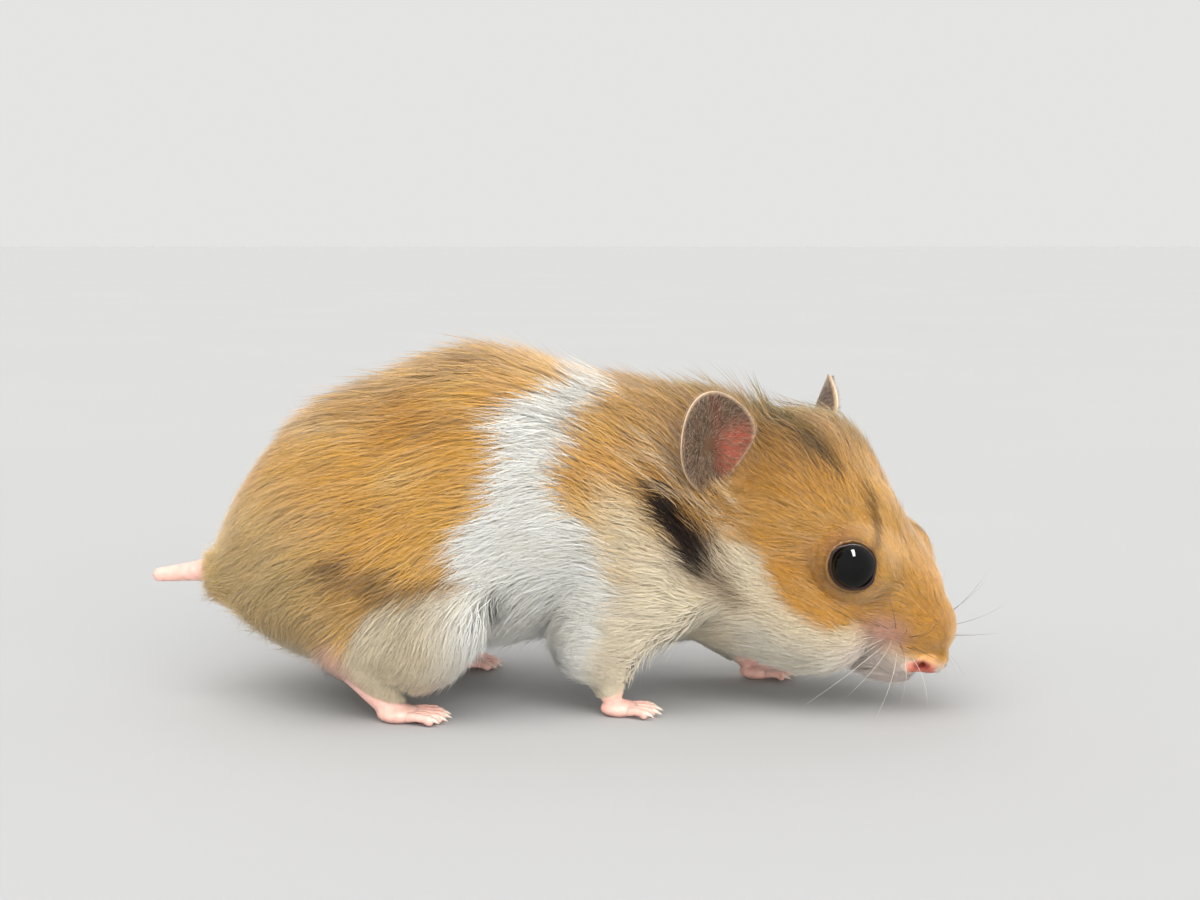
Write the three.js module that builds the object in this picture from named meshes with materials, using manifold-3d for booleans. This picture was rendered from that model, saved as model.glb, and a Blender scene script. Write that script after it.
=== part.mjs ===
// A life-size Syrian hamster, golden with a white band, in a low walking step with its head turned
// a little to its right.
//
// Units are millimetres. +X is the way the animal walks, +Y is its left side and +Z is up. The four
// paws stand on the plane z = 0, and the middle of the whole outline is over x = 0, y = 0.
//
// The body is one smooth field: each named mass is an ellipsoid or a tapered bar, and neighbouring
// masses melt into each other. The surface of that field is the outline of the coat. It is meshed
// one named part at a time and trimmed by planes and ellipsoids, which leaves a thin gap between
// neighbours. Eyes, ears and claws are shapes of their own.
import * as THREE from "three";
import { mergeVertices } from "three/addons/utils/BufferGeometryUtils.js";
import Module from "manifold-3d";

const wasm = await Module();
wasm.setup();

// ---------- driving dimensions ----------
const GAP = 0.35; // between neighbouring parts
const NOSE_AT = [56.2, -12.5, 8.8]; // the head's own origin, at the tip of the snout
const HEAD_YAW = 30; // the nose swings to the animal's right
const HEAD_PITCH = 20; // and points down
const EYE_RADIUS = 3.5;
const EYE_AT = [-13.2, 10.6, 9.4]; // in the head's frame, left side
// The notch under each ear, its tip, and the way its hollow faces, in the head's frame.
const EARS = {
  right: { base: [-32.4, -16.2, 11.4], tip: [-37.8, -21.8, 26.2], opens: [0.88, -0.46, 0.12] },
  left: { base: [-32.4, 15, 11.6], tip: [-36.4, 20.8, 26], opens: [0.9, 0.43, 0.12] },
};
const EAR_LENGTH = 17;
const EAR_HALF_WIDTH = 6.6;
const EAR_THICK = 1.0;
const EAR_CUP = 3.2; // depth of the hollow
const TAIL_TIP = [-59.6, 0.6, 18];
const OFF_CENTRE = 0.7; // how far the whole is moved forward, to stand evenly about x = 0
const CLAW_LENGTH = 2.5; // of which the first part is inside the toe
const CLAW_ROOT = 1.1;
const CLAW_RADIUS = 0.42;

// ---------- frames ----------
const vec = (a) => new THREE.Vector3(...a);
const radians = THREE.MathUtils.degToRad;

// The rotation of a part that faces +X, then pitches nose down and turns to its right.
function turned(yaw, pitch = 0) {
  return new THREE.Matrix4()
    .makeRotationZ(-radians(yaw))
    .multiply(new THREE.Matrix4().makeRotationY(radians(pitch)));
}

function frameAt(point, yaw, pitch = 0) {
  return turned(yaw, pitch).setPosition(...point);
}

const HEAD_FRAME = frameAt(NOSE_AT, HEAD_YAW, HEAD_PITCH);

// ---------- fields: each returns about how far a point lies outside its surface ----------
function ellipsoid(centre, radii, frame = new THREE.Matrix4()) {
  const toLocal = frame.clone().multiply(new THREE.Matrix4().makeTranslation(...centre)).invert();
  const q = new THREE.Vector3();
  return (p) => {
    q.copy(p).applyMatrix4(toLocal);
    const near = Math.hypot(q.x / radii[0], q.y / radii[1], q.z / radii[2]);
    const steep = Math.hypot(q.x / radii[0] ** 2, q.y / radii[1] ** 2, q.z / radii[2] ** 2);
    return (near * (near - 1)) / Math.max(steep, 1e-9);
  };
}

function bar(from, to, fromRadius, toRadius, frame = new THREE.Matrix4()) {
  const a = vec(from).applyMatrix4(frame);
  const along = vec(to).applyMatrix4(frame).sub(a);
  const length2 = along.lengthSq();
  const q = new THREE.Vector3();
  return (p) => {
    q.copy(p).sub(a);
    const t = THREE.MathUtils.clamp(q.dot(along) / length2, 0, 1);
    return q.addScaledVector(along, -t).length() - THREE.MathUtils.lerp(fromRadius, toRadius, t);
  };
}

// The smooth union of two distances: within `melt` of each other they flow together.
function joined(a, b, melt) {
  const h = Math.max(melt - Math.abs(a - b), 0) / melt;
  return Math.min(a, b) - (h * h * h * melt) / 6;
}

// Masses are rows of [field, melt], taken in order.
function melted(rows) {
  return (p) => rows.reduce((d, [field, melt]) => joined(d, field(p), melt), Infinity);
}

// ---------- trunk ----------
const level = new THREE.Matrix4();

// An ellipsoid of the trunk, turned about its own centre.
function mass(centre, radii, yaw = 0, pitch = 0) {
  return ellipsoid([0, 0, 0], radii, frameAt(centre, yaw, pitch));
}

const TRUNK = [
  [mass([-26.5, 0, 25.5], [25.5, 24, 21.5], 0, -24), 10], // rump
  [mass([-10, 0, 30], [23, 23, 23.6]), 10], // loin and belly
  [mass([9, 0.5, 28.2], [20, 20.5, 21.4], 0, 4), 10], // ribs
  [mass([23.5, 1, 28.4], [13.5, 14.2, 18.6], 14), 9], // neck
  [mass([-46.5, 0, 18.5], [5.5, 5.5, 5.5]), 8], // root of the tail
];

// ---------- limbs, in walking order ----------
// `haunch`, `joint` and `shank` are furred. The paw lies flat on the floor from `wrist` forward.
const LIMBS = {
  hind_right: {
    haunch: mass([-26, -15, 20.5], [16, 10.5, 14.5], 0, 25),
    joint: mass([-19.5, -18.2, 11.5], [9.5, 6.4, 8.6]),
    shank: [[-22, -18, 11.5], [-29.2, -17.8, 9.4], 6, 2.8],
    instep: [[-29.7, -17.8, 8.8], [-23, -18.2, 2.3], 2.2, 2.0],
    wrist: [-24.2, -18.2, 0],
    heading: 3,
    kind: "hind",
  },
  hind_left: {
    haunch: mass([-25, 15, 20.5], [16, 10.5, 14.5], 0, 20),
    joint: mass([-15.5, 17.5, 11.5], [9, 6, 8.4]),
    shank: [[-20, 17, 11], [-25.5, 17, 4.5], 5.5, 2.8],
    instep: [[-26, 17, 2.6], [-17, 17.3, 2.1], 2.3, 2.0],
    wrist: [-18.5, 17.3, 0],
    heading: -5,
    kind: "hind",
  },
  fore_right: {
    haunch: mass([12, -12.5, 19.5], [11, 8, 12], 0, 10),
    joint: mass([6.5, -14, 11], [7.5, 5.5, 8]),
    shank: [[8, -14, 11], [8.5, -14.4, 3.6], 4.4, 2.3],
    wrist: [7.6, -14.4, 0],
    heading: 6,
    kind: "fore",
  },
  fore_left: {
    haunch: mass([15, 12.5, 19.5], [11, 8, 12], 0, 20),
    joint: mass([18, 13, 11], [7.5, 5, 7], 0, 20),
    shank: [[20, 12.5, 11], [30, 10.5, 3.4], 4.4, 2.2],
    wrist: [29.4, 10.5, 0],
    heading: 4,
    kind: "fore",
  },
};

const PAWS = {
  hind: { toes: 5, palm: [5, 3], toe: 4.6, thick: 1.0, spread: 20 },
  fore: { toes: 4, palm: [4.6, 2.6], toe: 3.4, thick: 0.9, spread: 24 },
};

// Each toe's root and tip in the paw's frame, and how far it fans out.
function toesOf({ toes, palm, toe, thick, spread }) {
  return Array.from({ length: toes }, (_, i) => {
    const side = i / ((toes - 1) / 2) - 1;
    const fan = radians(spread * side);
    const reach = toe * (1 - 0.22 * side * side);
    const root = new THREE.Vector3(palm[0] * 0.82, -palm[1] * 0.72 * side, thick * 1.05);
    const tip = root.clone().add(new THREE.Vector3(Math.cos(fan), -Math.sin(fan), -0.06).multiplyScalar(reach));
    return { root, tip, fan };
  });
}

function palmField({ wrist, heading, kind }) {
  const { palm, thick } = PAWS[kind];
  const centre = [palm[0] * 0.5, 0, thick * 1.15];
  return ellipsoid(centre, [palm[0] * 0.62, palm[1], thick * 1.35], frameAt(wrist, heading));
}

function limbField(limb) {
  const rows = [[bar(...limb.shank), 2]];
  if (limb.instep) rows.push([bar(...limb.instep), 2]);
  rows.push([palmField(limb), 1]);
  return melted(rows);
}

// ---------- head, in the head's frame: +X out of the nose, +Z up from the bridge ----------
const HEAD_MIDDLE = [
  [[-27.5, 0, 10.8], [14, 15, 15.4], 6], // cranium
  [[-15, 0, 5.2], [13, 10.4, 10.5], 6], // face
  [[-6.6, 0, 2.4], [7.2, 5.9, 5.9], 5], // snout
  [[-2.9, 0, 2.4], [4, 5.1, 4.5], 3], // its blunt end
  [[-0.7, 0, -1.6], [2, 2.6, 1.9], 1.5], // nose
  [[-8.5, 0, -4.4], [7, 4.8, 3.6], 4], // chin
];
const HEAD_PAIRS = [
  [[-4.2, 3.2, -1.8], [4.2, 3.1, 3.2], 2], // whisker pads
  [[-15, 6.5, 9.8], [7, 5.4, 5.2], 4], // brows
  [[-19.3, 8.2, -2.2], [11.5, 7.6, 8.2], 6], // cheeks
  [[-29.3, 9, -1.6], [11, 9, 10.5], 7], // pouches
];
const mirrored = ([x, y, z]) => [x, -y, z];
const HEAD = [
  ...HEAD_MIDDLE,
  ...HEAD_PAIRS.flatMap(([centre, radii, melt]) => [
    [mirrored(centre), radii, melt],
    [centre, radii, melt],
  ]),
].map(([centre, radii, melt]) => [ellipsoid(centre, radii, HEAD_FRAME), melt]);

// ---------- the whole outline ----------
const limbs = Object.values(LIMBS);
const trunk = melted([
  ...TRUNK,
  ...limbs.map((limb) => [limb.haunch, 6]),
  ...limbs.map((limb) => [limb.joint, 5]),
]);
const head = melted(HEAD);
const limbFields = limbs.map(limbField);
const tail = melted([
  [bar([-46, 0, 19], [-52.5, 0, 18.8], 2.2, 1.6), 1],
  [bar([-52.5, 0, 18.8], TAIL_TIP, 1.6, 1.05), 1],
]);

function outline(p) {
  let d = joined(trunk(p), head(p), 6);
  d = joined(d, Math.min(...limbFields.map((limb) => limb(p))), 3);
  return joined(d, tail(p), 1.5);
}

// ---------- meshing ----------
// Points of the grid that lie round a cell's edge along axis d, as steps back along the other two.
const RING = [[-1, -1], [0, -1], [0, 0], [-1, 0]];

// The surface of a field inside the box low..high, as a closed geometry with one vertex in each
// grid cell that the surface crosses. It is capped a little inside the box.
function surface(field, low, high, cell) {
  const counts = low.map((v, i) => Math.ceil((high[i] - v) / cell) + 3);
  const [nx, ny, nz] = counts;
  const at = (i, j, k) => (i * ny + j) * nz + k;
  const corner = (i, j, k) =>
    new THREE.Vector3(low[0] + (i - 1) * cell, low[1] + (j - 1) * cell, low[2] + (k - 1) * cell);
  const values = new Float64Array(nx * ny * nz);
  for (let i = 0; i < nx; i++)
    for (let j = 0; j < ny; j++)
      for (let k = 0; k < nz; k++) {
        const rim = i * j * k === 0 || i === nx - 1 || j === ny - 1 || k === nz - 1;
        const d = field(corner(i, j, k));
        values[at(i, j, k)] = rim ? Math.max(d, cell / 2) : d;
      }

  const points = [];
  const pointOf = new Map();
  const steps = [[1, 0, 0], [0, 1, 0], [0, 0, 1]];
  function cellPoint(i, j, k) {
    const sum = new THREE.Vector3();
    let crossings = 0;
    for (const [di, dj, dk] of steps)
      for (let n = 0; n < 4; n++) {
        // The four edges of the cell that run along this step.
        const [u, v] = [n & 1, n >> 1];
        const [oi, oj, ok] = di ? [0, u, v] : dj ? [u, 0, v] : [u, v, 0];
        const a = values[at(i + oi, j + oj, k + ok)];
        const b = values[at(i + oi + di, j + oj + dj, k + ok + dk)];
        if (a < 0 === b < 0) continue;
        const from = corner(i + oi, j + oj, k + ok);
        sum.add(from.lerp(corner(i + oi + di, j + oj + dj, k + ok + dk), a / (a - b)));
        crossings++;
      }
    return sum.divideScalar(crossings);
  }
  function index(i, j, k) {
    const key = at(i, j, k);
    if (!pointOf.has(key)) {
      pointOf.set(key, points.length);
      points.push(drawnTo(field, cellPoint(i, j, k), cell));
    }
    return pointOf.get(key);
  }

  const triangles = [];
  for (let i = 0; i < nx - 1; i++)
    for (let j = 0; j < ny - 1; j++)
      for (let k = 0; k < nz - 1; k++)
        steps.forEach(([di, dj, dk], d) => {
          const inside = values[at(i, j, k)] < 0;
          if (inside === values[at(i + di, j + dj, k + dk)] < 0) return;
          const ring = RING.map(([u, v]) => {
            const back = [0, 0, 0];
            back[(d + 1) % 3] = u;
            back[(d + 2) % 3] = v;
            return index(i + back[0], j + back[1], k + back[2]);
          });
          if (!inside) ring.reverse();
          const [a, b, c, e] = ring;
          // The shorter diagonal keeps the two triangles plump.
          if (points[a].distanceTo(points[c]) < points[b].distanceTo(points[e]))
            triangles.push(a, b, c, a, c, e);
          else triangles.push(b, c, e, b, e, a);
        });
  return geometryOf(points, triangles);
}

// Moves a point onto the field's surface, by at most half a cell, so that coarse cells stay true.
function drawnTo(field, point, cell) {
  const probe = 0.05;
  for (let pass = 0; pass < 2; pass++) {
    const here = field(point);
    const slope = new THREE.Vector3(
      ...["x", "y", "z"].map((axis) => {
        const moved = point.clone();
        moved[axis] += probe;
        return (field(moved) - here) / probe;
      }),
    );
    const reach = THREE.MathUtils.clamp(here / Math.max(slope.length(), 0.2), -cell / 2, cell / 2);
    if (Math.abs(here) < cell) point.addScaledVector(slope.normalize(), -reach);
  }
  return point;
}

function geometryOf(points, triangles) {
  const geometry = new THREE.BufferGeometry().setFromPoints(points);
  geometry.setIndex(triangles);
  return geometry;
}

// ---------- solids ----------
function solid(geometry, frame = level) {
  const bare = new THREE.BufferGeometry();
  bare.setAttribute("position", geometry.getAttribute("position").clone());
  if (geometry.index) bare.setIndex(geometry.index.clone());
  const merged = mergeVertices(bare.applyMatrix4(frame), 1e-4);
  return new wasm.Manifold(
    new wasm.Mesh({
      numProp: 3,
      vertProperties: new Float32Array(merged.attributes.position.array),
      triVerts: new Uint32Array(merged.index.array),
    }),
  );
}

function geometryFrom(manifold) {
  const mesh = manifold.getMesh();
  const positions = new Float32Array(mesh.numVert * 3);
  for (let i = 0; i < mesh.numVert; i++)
    positions.set(mesh.vertProperties.subarray(i * mesh.numProp, i * mesh.numProp + 3), i * 3);
  const geometry = new THREE.BufferGeometry();
  geometry.setAttribute("position", new THREE.BufferAttribute(positions, 3));
  geometry.setIndex(new THREE.BufferAttribute(mesh.triVerts, 1));
  return geometry;
}

// A box from low to high corner in a frame. `grow` moves each face out.
function block(low, high, frame = level, grow = 0) {
  const size = high.map((v, i) => v - low[i] + 2 * grow);
  const middle = high.map((v, i) => (v + low[i]) / 2);
  const centred = frame.clone().multiply(new THREE.Matrix4().makeTranslation(...middle));
  return solid(new THREE.BoxGeometry(...size), centred);
}

function egg(centre, radii, frame = level, grow = 0, around = 16) {
  const scaled = new THREE.Matrix4().makeScale(...radii.map((r) => r + grow));
  const moved = new THREE.Matrix4().makeTranslation(...centre);
  const geometry = new THREE.SphereGeometry(1, around, around / 2);
  return solid(geometry, frame.clone().multiply(moved).multiply(scaled));
}

const largest = (manifold) =>
  manifold.decompose().reduce((best, body) => (body.volume() > best.volume() ? body : best));

// ---------- where each part ends ----------
// Every cutter takes a `grow`, so that the part is cut by it as it is, and its neighbours by the
// same shape one gap larger.
const cutters = {
  head: (grow) => block([-37.4, -40, -14.2], [20, 40, 42], HEAD_FRAME, grow),
  nose: (grow) => egg([0.6, 0, -1.9], [2.8, 3.1, 2.5], HEAD_FRAME, grow, 16),
  lower_jaw: (grow) => block([-15, -12, -14], [-1.6, 12, -4.6], HEAD_FRAME, grow),
  tail: (grow) => block([-70, -3.2, 15.4], [-51.9, 3.2, 22], level, grow),
  thigh_right: (grow) => egg([-24.5, -19.5, 16], [16.5, 12, 16.5], level, grow),
  thigh_left: (grow) => egg([-21.5, 19.5, 16], [16.5, 12, 16.5], level, grow),
  foreleg_right: (grow) => egg([9.5, -18, 14], [11.5, 9.5, 14.5], level, grow),
  foreleg_left: (grow) => egg([19.5, 17, 13], [14.5, 9.5, 13.5], turned(4), grow),
  hind_foot_right: (grow) =>
    block([-6, -6, -3], [15, 6, 3.9], frameAt([-24.2, -18.2, 0], 3, 10), grow).add(
      egg([-30, -17.8, 8], [4, 3.6, 4.6], level, grow),
    ),
  hind_foot_left: (grow) => block([-12, -6, -3], [15, 6, 4.2], frameAt([-18.5, 17.3, 0], -5, 3), grow),
  forepaw_right: (grow) => block([-5, -6, -3], [12, 6, 3.3], frameAt([7.6, -14.4, 0], 6), grow),
  forepaw_left: (grow) => block([-3.2, -6, -3], [12, 6, 3.4], frameAt([29.4, 10.5, 0], 4, -6), grow),
};
// Planes across the trunk, from the tail forward.
const LOIN_FROM = -22;
const CHEST_FROM = -1;
const NECK_FROM = 16;
const WIDE = 60;

// The outline inside a box, meshed with this cell.
function flesh(low, high, cell) {
  return solid(surface(outline, low, high, cell));
}

const floor = block([-80, -80, -20], [80, 80, 0]);

// One part: the outline in a box, kept inside its cutter and out of its neighbours' cutters.
function part(low, high, cell, own, others) {
  let made = flesh(low, high, cell).subtract(floor);
  if (own) made = made.intersect(own);
  for (const name of others) made = made.subtract(cutters[name](GAP));
  return largest(made);
}

// ---------- toes and claws ----------
// A toe is a round-ended bar, and its claw a short cone that curves down from its tip.
function toeOn({ root, tip, fan }, thick, frame) {
  const reach = root.distanceTo(tip);
  const bone = new THREE.CapsuleGeometry(thick * 0.8, reach, 2, 6);
  bone.translate(0, reach / 2, 0).rotateZ(-Math.PI / 2);
  return solid(bone, frame.clone().multiply(frameAt(root.toArray(), THREE.MathUtils.radToDeg(fan), 3)));
}

function clawOn({ tip, fan }, frame) {
  const cone = new THREE.ConeGeometry(CLAW_RADIUS, CLAW_LENGTH, 5, 2);
  cone.translate(0, CLAW_LENGTH / 2 - CLAW_ROOT, 0);
  const place = cone.getAttribute("position");
  for (let i = 0; i < place.count; i++) {
    const along = Math.max(place.getY(i), 0);
    place.setZ(i, place.getZ(i) - 0.2 * along * along);
  }
  cone.rotateZ(-Math.PI / 2); // the axis now runs forward
  const seat = frameAt([tip.x, tip.y, tip.z + 0.25], THREE.MathUtils.radToDeg(fan));
  return solid(cone, frame.clone().multiply(seat));
}

function withToes(palm, { wrist, heading, kind }) {
  const frame = frameAt(wrist, heading);
  const size = PAWS[kind];
  return toesOf(size)
    .reduce((paw, toe) => paw.add(toeOn(toe, size.thick, frame)).add(clawOn(toe, frame)), palm)
    .subtract(floor);
}

// ---------- ears ----------
// The ear is a cupped leaf in its own frame: +X is the way it opens, +Y across, +Z from base to tip.
function earFrame({ base, tip, opens }) {
  const up = vec(tip).sub(vec(base)).normalize();
  const face = vec(opens);
  face.addScaledVector(up, -face.dot(up)).normalize();
  const across = new THREE.Vector3().crossVectors(up, face);
  return HEAD_FRAME.clone().multiply(new THREE.Matrix4().makeBasis(face, across, up).setPosition(...base));
}

// The middle of the leaf at ring share r (0 at its heart, 1 at the rim) and angle t round it.
function earPoint(r, t) {
  const round = (1 + Math.cos(t)) / 2; // 1 at the tip, 0 at the base
  const width = EAR_HALF_WIDTH * (0.62 + 0.38 * Math.sin((Math.PI / 2) * Math.min(1, round * 1.5)));
  const y = r * width * Math.sin(t);
  const z = EAR_LENGTH * (0.52 + r * 0.48 * Math.cos(t));
  const bow = (y / EAR_HALF_WIDTH) ** 2;
  const lean = 1.6 * (z / EAR_LENGTH) ** 2;
  return new THREE.Vector3(EAR_CUP * (bow - 0.75) + lean - 0.6, y, z);
}

function earGeometry() {
  const rings = 4;
  const around = 18;
  const points = [];
  const triangles = [];
  const layer = (sign) => {
    const start = points.length;
    points.push(earPoint(0, 0).add(new THREE.Vector3((sign * EAR_THICK) / 2, 0, 0)));
    for (let r = 1; r <= rings; r++)
      for (let t = 0; t < around; t++) {
        const share = Math.sin((Math.PI / 2) * (r / rings));
        const thick = (EAR_THICK / 2) * Math.sqrt(Math.max(1 - (r / rings) ** 6, 0.09));
        const inset = r === rings ? 0.985 : share;
        const point = earPoint(inset, (t / around) * 2 * Math.PI);
        points.push(point.add(new THREE.Vector3(sign * thick, 0, 0)));
      }
    return start;
  };
  const at = (start, r, t) => start + 1 + (r - 1) * around + (t % around);
  const fan = (start, flip) => {
    for (let t = 0; t < around; t++) {
      const tri = [start, at(start, 1, t + 1), at(start, 1, t)];
      triangles.push(...(flip ? tri.reverse() : tri));
      for (let r = 1; r < rings; r++) {
        const [a, b] = [at(start, r, t), at(start, r, t + 1)];
        const [c, d] = [at(start, r + 1, t + 1), at(start, r + 1, t)];
        triangles.push(...(flip ? [a, d, b, b, d, c] : [a, b, d, b, c, d]));
      }
    }
  };
  const front = layer(1);
  const back = layer(-1);
  fan(front, false);
  fan(back, true);
  for (let t = 0; t < around; t++) {
    const [a, b] = [at(front, rings, t), at(front, rings, t + 1)];
    const [c, d] = [at(back, rings, t + 1), at(back, rings, t)];
    triangles.push(a, b, c, a, c, d);
  }
  return geometryOf(points, triangles);
}

// ---------- materials ----------
const finish = (color, roughness) => new THREE.MeshStandardMaterial({ color, roughness, metalness: 0 });
const golden = finish(0xc58a42, 0.9);
const white = finish(0xe9e5dc, 0.9);
const skin = finish(0xd8948b, 0.6);
const earSkin = finish(0x7c6a61, 0.75);
const black = finish(0x0a0808, 0.08);

// ---------- the parts ----------
const hamster = new THREE.Group();
const headGroup = new THREE.Group();
headGroup.position.set(...NOSE_AT);
headGroup.rotation.setFromRotationMatrix(HEAD_FRAME);
hamster.add(headGroup);
hamster.updateMatrixWorld(true);

// Adds a solid, worked out in the animal's frame, as a mesh of a group.
function add(name, manifold, material, group = hamster) {
  const geometry = geometryFrom(manifold).applyMatrix4(group.matrixWorld.clone().invert());
  const mesh = new THREE.Mesh(geometry, material);
  mesh.name = name;
  group.add(mesh);
  return mesh;
}

// ---------- the trunk and tail ----------
const TRUNK_CELL = 6;
const legs = ["thigh_right", "thigh_left", "foreleg_right", "foreleg_left"];
const feet = ["hind_foot_right", "hind_foot_left", "forepaw_right", "forepaw_left"];

// A length of the trunk from one x to another, less the gap at its front end.
function addTrunk(name, from, to, cell, material, others = []) {
  const slab = block([from, -WIDE, -5], [to - GAP, WIDE, 70]);
  const made = part([from - 5, -32, 0], [to + 5, 32, 58], cell, slab, [...others, ...legs, ...feet]);
  add(name, made, material);
}

addTrunk("rump", -55, LOIN_FROM, TRUNK_CELL, golden, ["tail"]);
addTrunk("loin", LOIN_FROM, CHEST_FROM, TRUNK_CELL, white);
addTrunk("chest", CHEST_FROM, NECK_FROM, TRUNK_CELL, white, ["head"]);
addTrunk("neck", NECK_FROM, 40, TRUNK_CELL * 0.6, golden, ["head"]);
add("tail", part([-64, -5, 12], [-47, 5, 25], 1.2, cutters.tail(0), []), skin);

// ---------- the limbs ----------
const LIMB_CELL = 4.2;
const PAW_CELL = 1.4;

function addLimb(name, low, high, foot, material) {
  add(name, part(low, high, LIMB_CELL, cutters[name](0), ["head", foot]), material);
}

function addFoot(name, limb) {
  const [x, y] = limb.wrist;
  const palm = part([x - 12, y - 6, -1.5], [x + 14, y + 6, 13], PAW_CELL, cutters[name](0), []);
  add(name, withToes(palm, limb), skin);
}

addLimb("thigh_right", [-46, -32, 0], [-2, -3, 38], "hind_foot_right", golden);
addLimb("thigh_left", [-43, 3, 0], [0, 32, 38], "hind_foot_left", golden);
addLimb("foreleg_right", [-6, -32, 0], [26, -4, 34], "forepaw_right", white);
addLimb("foreleg_left", [0, 3, 0], [38, 32, 32], "forepaw_left", white);
addFoot("hind_foot_right", LIMBS.hind_right);
addFoot("hind_foot_left", LIMBS.hind_left);
addFoot("forepaw_right", LIMBS.fore_right);
addFoot("forepaw_left", LIMBS.fore_left);

// ---------- the head ----------
const HEAD_CELL = 3.6;
const HEAD_BOX = [[5, -30, 0], [66, 32, 56]];
const eyeAt = (side) => [EYE_AT[0], side * EYE_AT[1], EYE_AT[2]];
const eyeRadii = [EYE_RADIUS, EYE_RADIUS, EYE_RADIUS];
const sides = { right: -1, left: 1 };

function addSkull() {
  let skull = part(...HEAD_BOX, HEAD_CELL, cutters.head(0), ["nose", "lower_jaw"]);
  for (const side of Object.values(sides))
    skull = skull.subtract(egg(eyeAt(side), eyeRadii, HEAD_FRAME, GAP));
  add("head", largest(skull), golden, headGroup);
}

function addEye(word) {
  const eye = new THREE.Mesh(new THREE.SphereGeometry(EYE_RADIUS, 16, 9), black);
  eye.name = `eye_${word}`;
  eye.position.set(...eyeAt(sides[word]));
  headGroup.add(eye);
}

addSkull();
add("nose", part([52, -20, 2], [64, -8, 15], 1.4, cutters.nose(0), ["lower_jaw"]), skin, headGroup);
add("lower_jaw", part([36, -20, 0], [64, 4, 14], 2.4, cutters.lower_jaw(0), []), white, headGroup);
Object.keys(sides).forEach(addEye);

// The leaf of an ear starts a gap outside the outline of head and neck.
const headAndGap = solid(surface((p) => outline(p) - GAP, ...HEAD_BOX, HEAD_CELL));
for (const [word, ear] of Object.entries(EARS)) {
  const leaf = solid(earGeometry(), earFrame(ear)).subtract(headAndGap);
  add(`ear_${word}`, largest(leaf), earSkin, headGroup);
}

hamster.position.x = OFF_CENTRE;

export default hamster;
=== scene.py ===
# %% [markdown]
# # A Syrian hamster in its coat
# The solids of the frame give the animal out to the tips of its hair. Blender dresses them: one skin
# lies inside the solids by the depth of the coat, and many thousands of small closed tufts grow from
# it and lie back along the body. Every shape is a formula worked out with numpy on whole arrays, in
# millimetres, and becomes metres only where it is put into a mesh.

import bpy
import numpy as np
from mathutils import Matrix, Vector


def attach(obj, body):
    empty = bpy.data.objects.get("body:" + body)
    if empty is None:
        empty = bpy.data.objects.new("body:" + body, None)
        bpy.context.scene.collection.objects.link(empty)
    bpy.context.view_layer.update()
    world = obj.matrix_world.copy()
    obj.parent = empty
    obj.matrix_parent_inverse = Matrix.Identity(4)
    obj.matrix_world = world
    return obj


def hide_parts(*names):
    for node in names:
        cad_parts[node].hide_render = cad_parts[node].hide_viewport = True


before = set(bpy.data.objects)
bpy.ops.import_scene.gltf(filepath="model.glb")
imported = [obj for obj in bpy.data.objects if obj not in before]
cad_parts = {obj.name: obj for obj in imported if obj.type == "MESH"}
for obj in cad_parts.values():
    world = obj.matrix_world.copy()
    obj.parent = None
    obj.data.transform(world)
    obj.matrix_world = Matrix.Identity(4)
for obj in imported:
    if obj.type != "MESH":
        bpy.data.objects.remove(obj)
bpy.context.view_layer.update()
MM = 0.001

# %% [markdown]
# ## Turning parts
# A head or a foot is easiest to describe in axes of its own: forward, left and up. Two turns place
# them in the world. The same small function serves the head, the feet and each mass of the body.

# %% Axes of a part


def turned(yaw, pitch=0.0):
    """A part's forward, left and up axes as columns: pitched nose down, then turned to its right."""
    yaw, pitch = np.radians([yaw, pitch])
    to_right = np.array([[np.cos(yaw), np.sin(yaw), 0], [-np.sin(yaw), np.cos(yaw), 0], [0, 0, 1]])
    nose_down = np.array(
        [[np.cos(pitch), 0, np.sin(pitch)], [0, 1, 0], [-np.sin(pitch), 0, np.cos(pitch)]]
    )
    return to_right @ nose_down


LEVEL = np.eye(3)
OTHER_SIDE = np.array([1, -1, 1])
MOVED = np.array([0.7, 0, 0])  # from the axes the body was laid out in to the frame's
NOSE_AT = np.array([56.2, -12.5, 8.8]) + MOVED
HEAD_AXES = turned(30, 20)


def in_head(points):
    """Points of the world in the head's own axes, measured from the tip of the snout."""
    return (points - NOSE_AT) @ HEAD_AXES


def one_side(local):
    """Points of the head's axes with the right half folded over to the left."""
    return local * np.where(local[:, 1:2] < 0, OTHER_SIDE, 1)


def from_head(points):
    """Points given in the head's own axes, in the world."""
    return np.asarray(points, float) @ HEAD_AXES.T + NOSE_AT


print("head looks along", np.round(HEAD_AXES[:, 0], 2))

# %% [markdown]
# ## Soft masses
# A furred body has no edges, so it isn't built from faces but from masses that melt together, like
# lumps of clay. Each mass is an ellipsoid or a tapered bar, and its formula says about how far a
# point lies outside it. Where two masses are closer than `melt`, the joint between them is filled.

# %% Distance to an ellipsoid, a bar and a joint


def length_of(vectors):
    """The length of each row."""
    return np.sqrt(np.einsum("...i,...i->...", vectors, vectors))


def unit(vectors):
    """Each row at length one."""
    return vectors / np.maximum(length_of(vectors), 1e-9)[..., None]


def hump(points, middle, reach, power=2):
    """1 at a place, falling away as exp(-(distance / reach)^power). `reach` is one length, or one
    for each axis."""
    return np.exp(-(length_of((points - middle) / reach) ** power))


def ellipsoid(points, centre, axes, radii):
    """About the distance to an ellipsoid: k (k - 1) / m, where k is the length of the point divided
    by the radii, and m the length of the point divided by their squares."""
    local = (points - centre) @ axes
    k = length_of(local / radii)
    return k * (k - 1) / np.maximum(length_of(local / radii**2), 1e-6)


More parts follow.
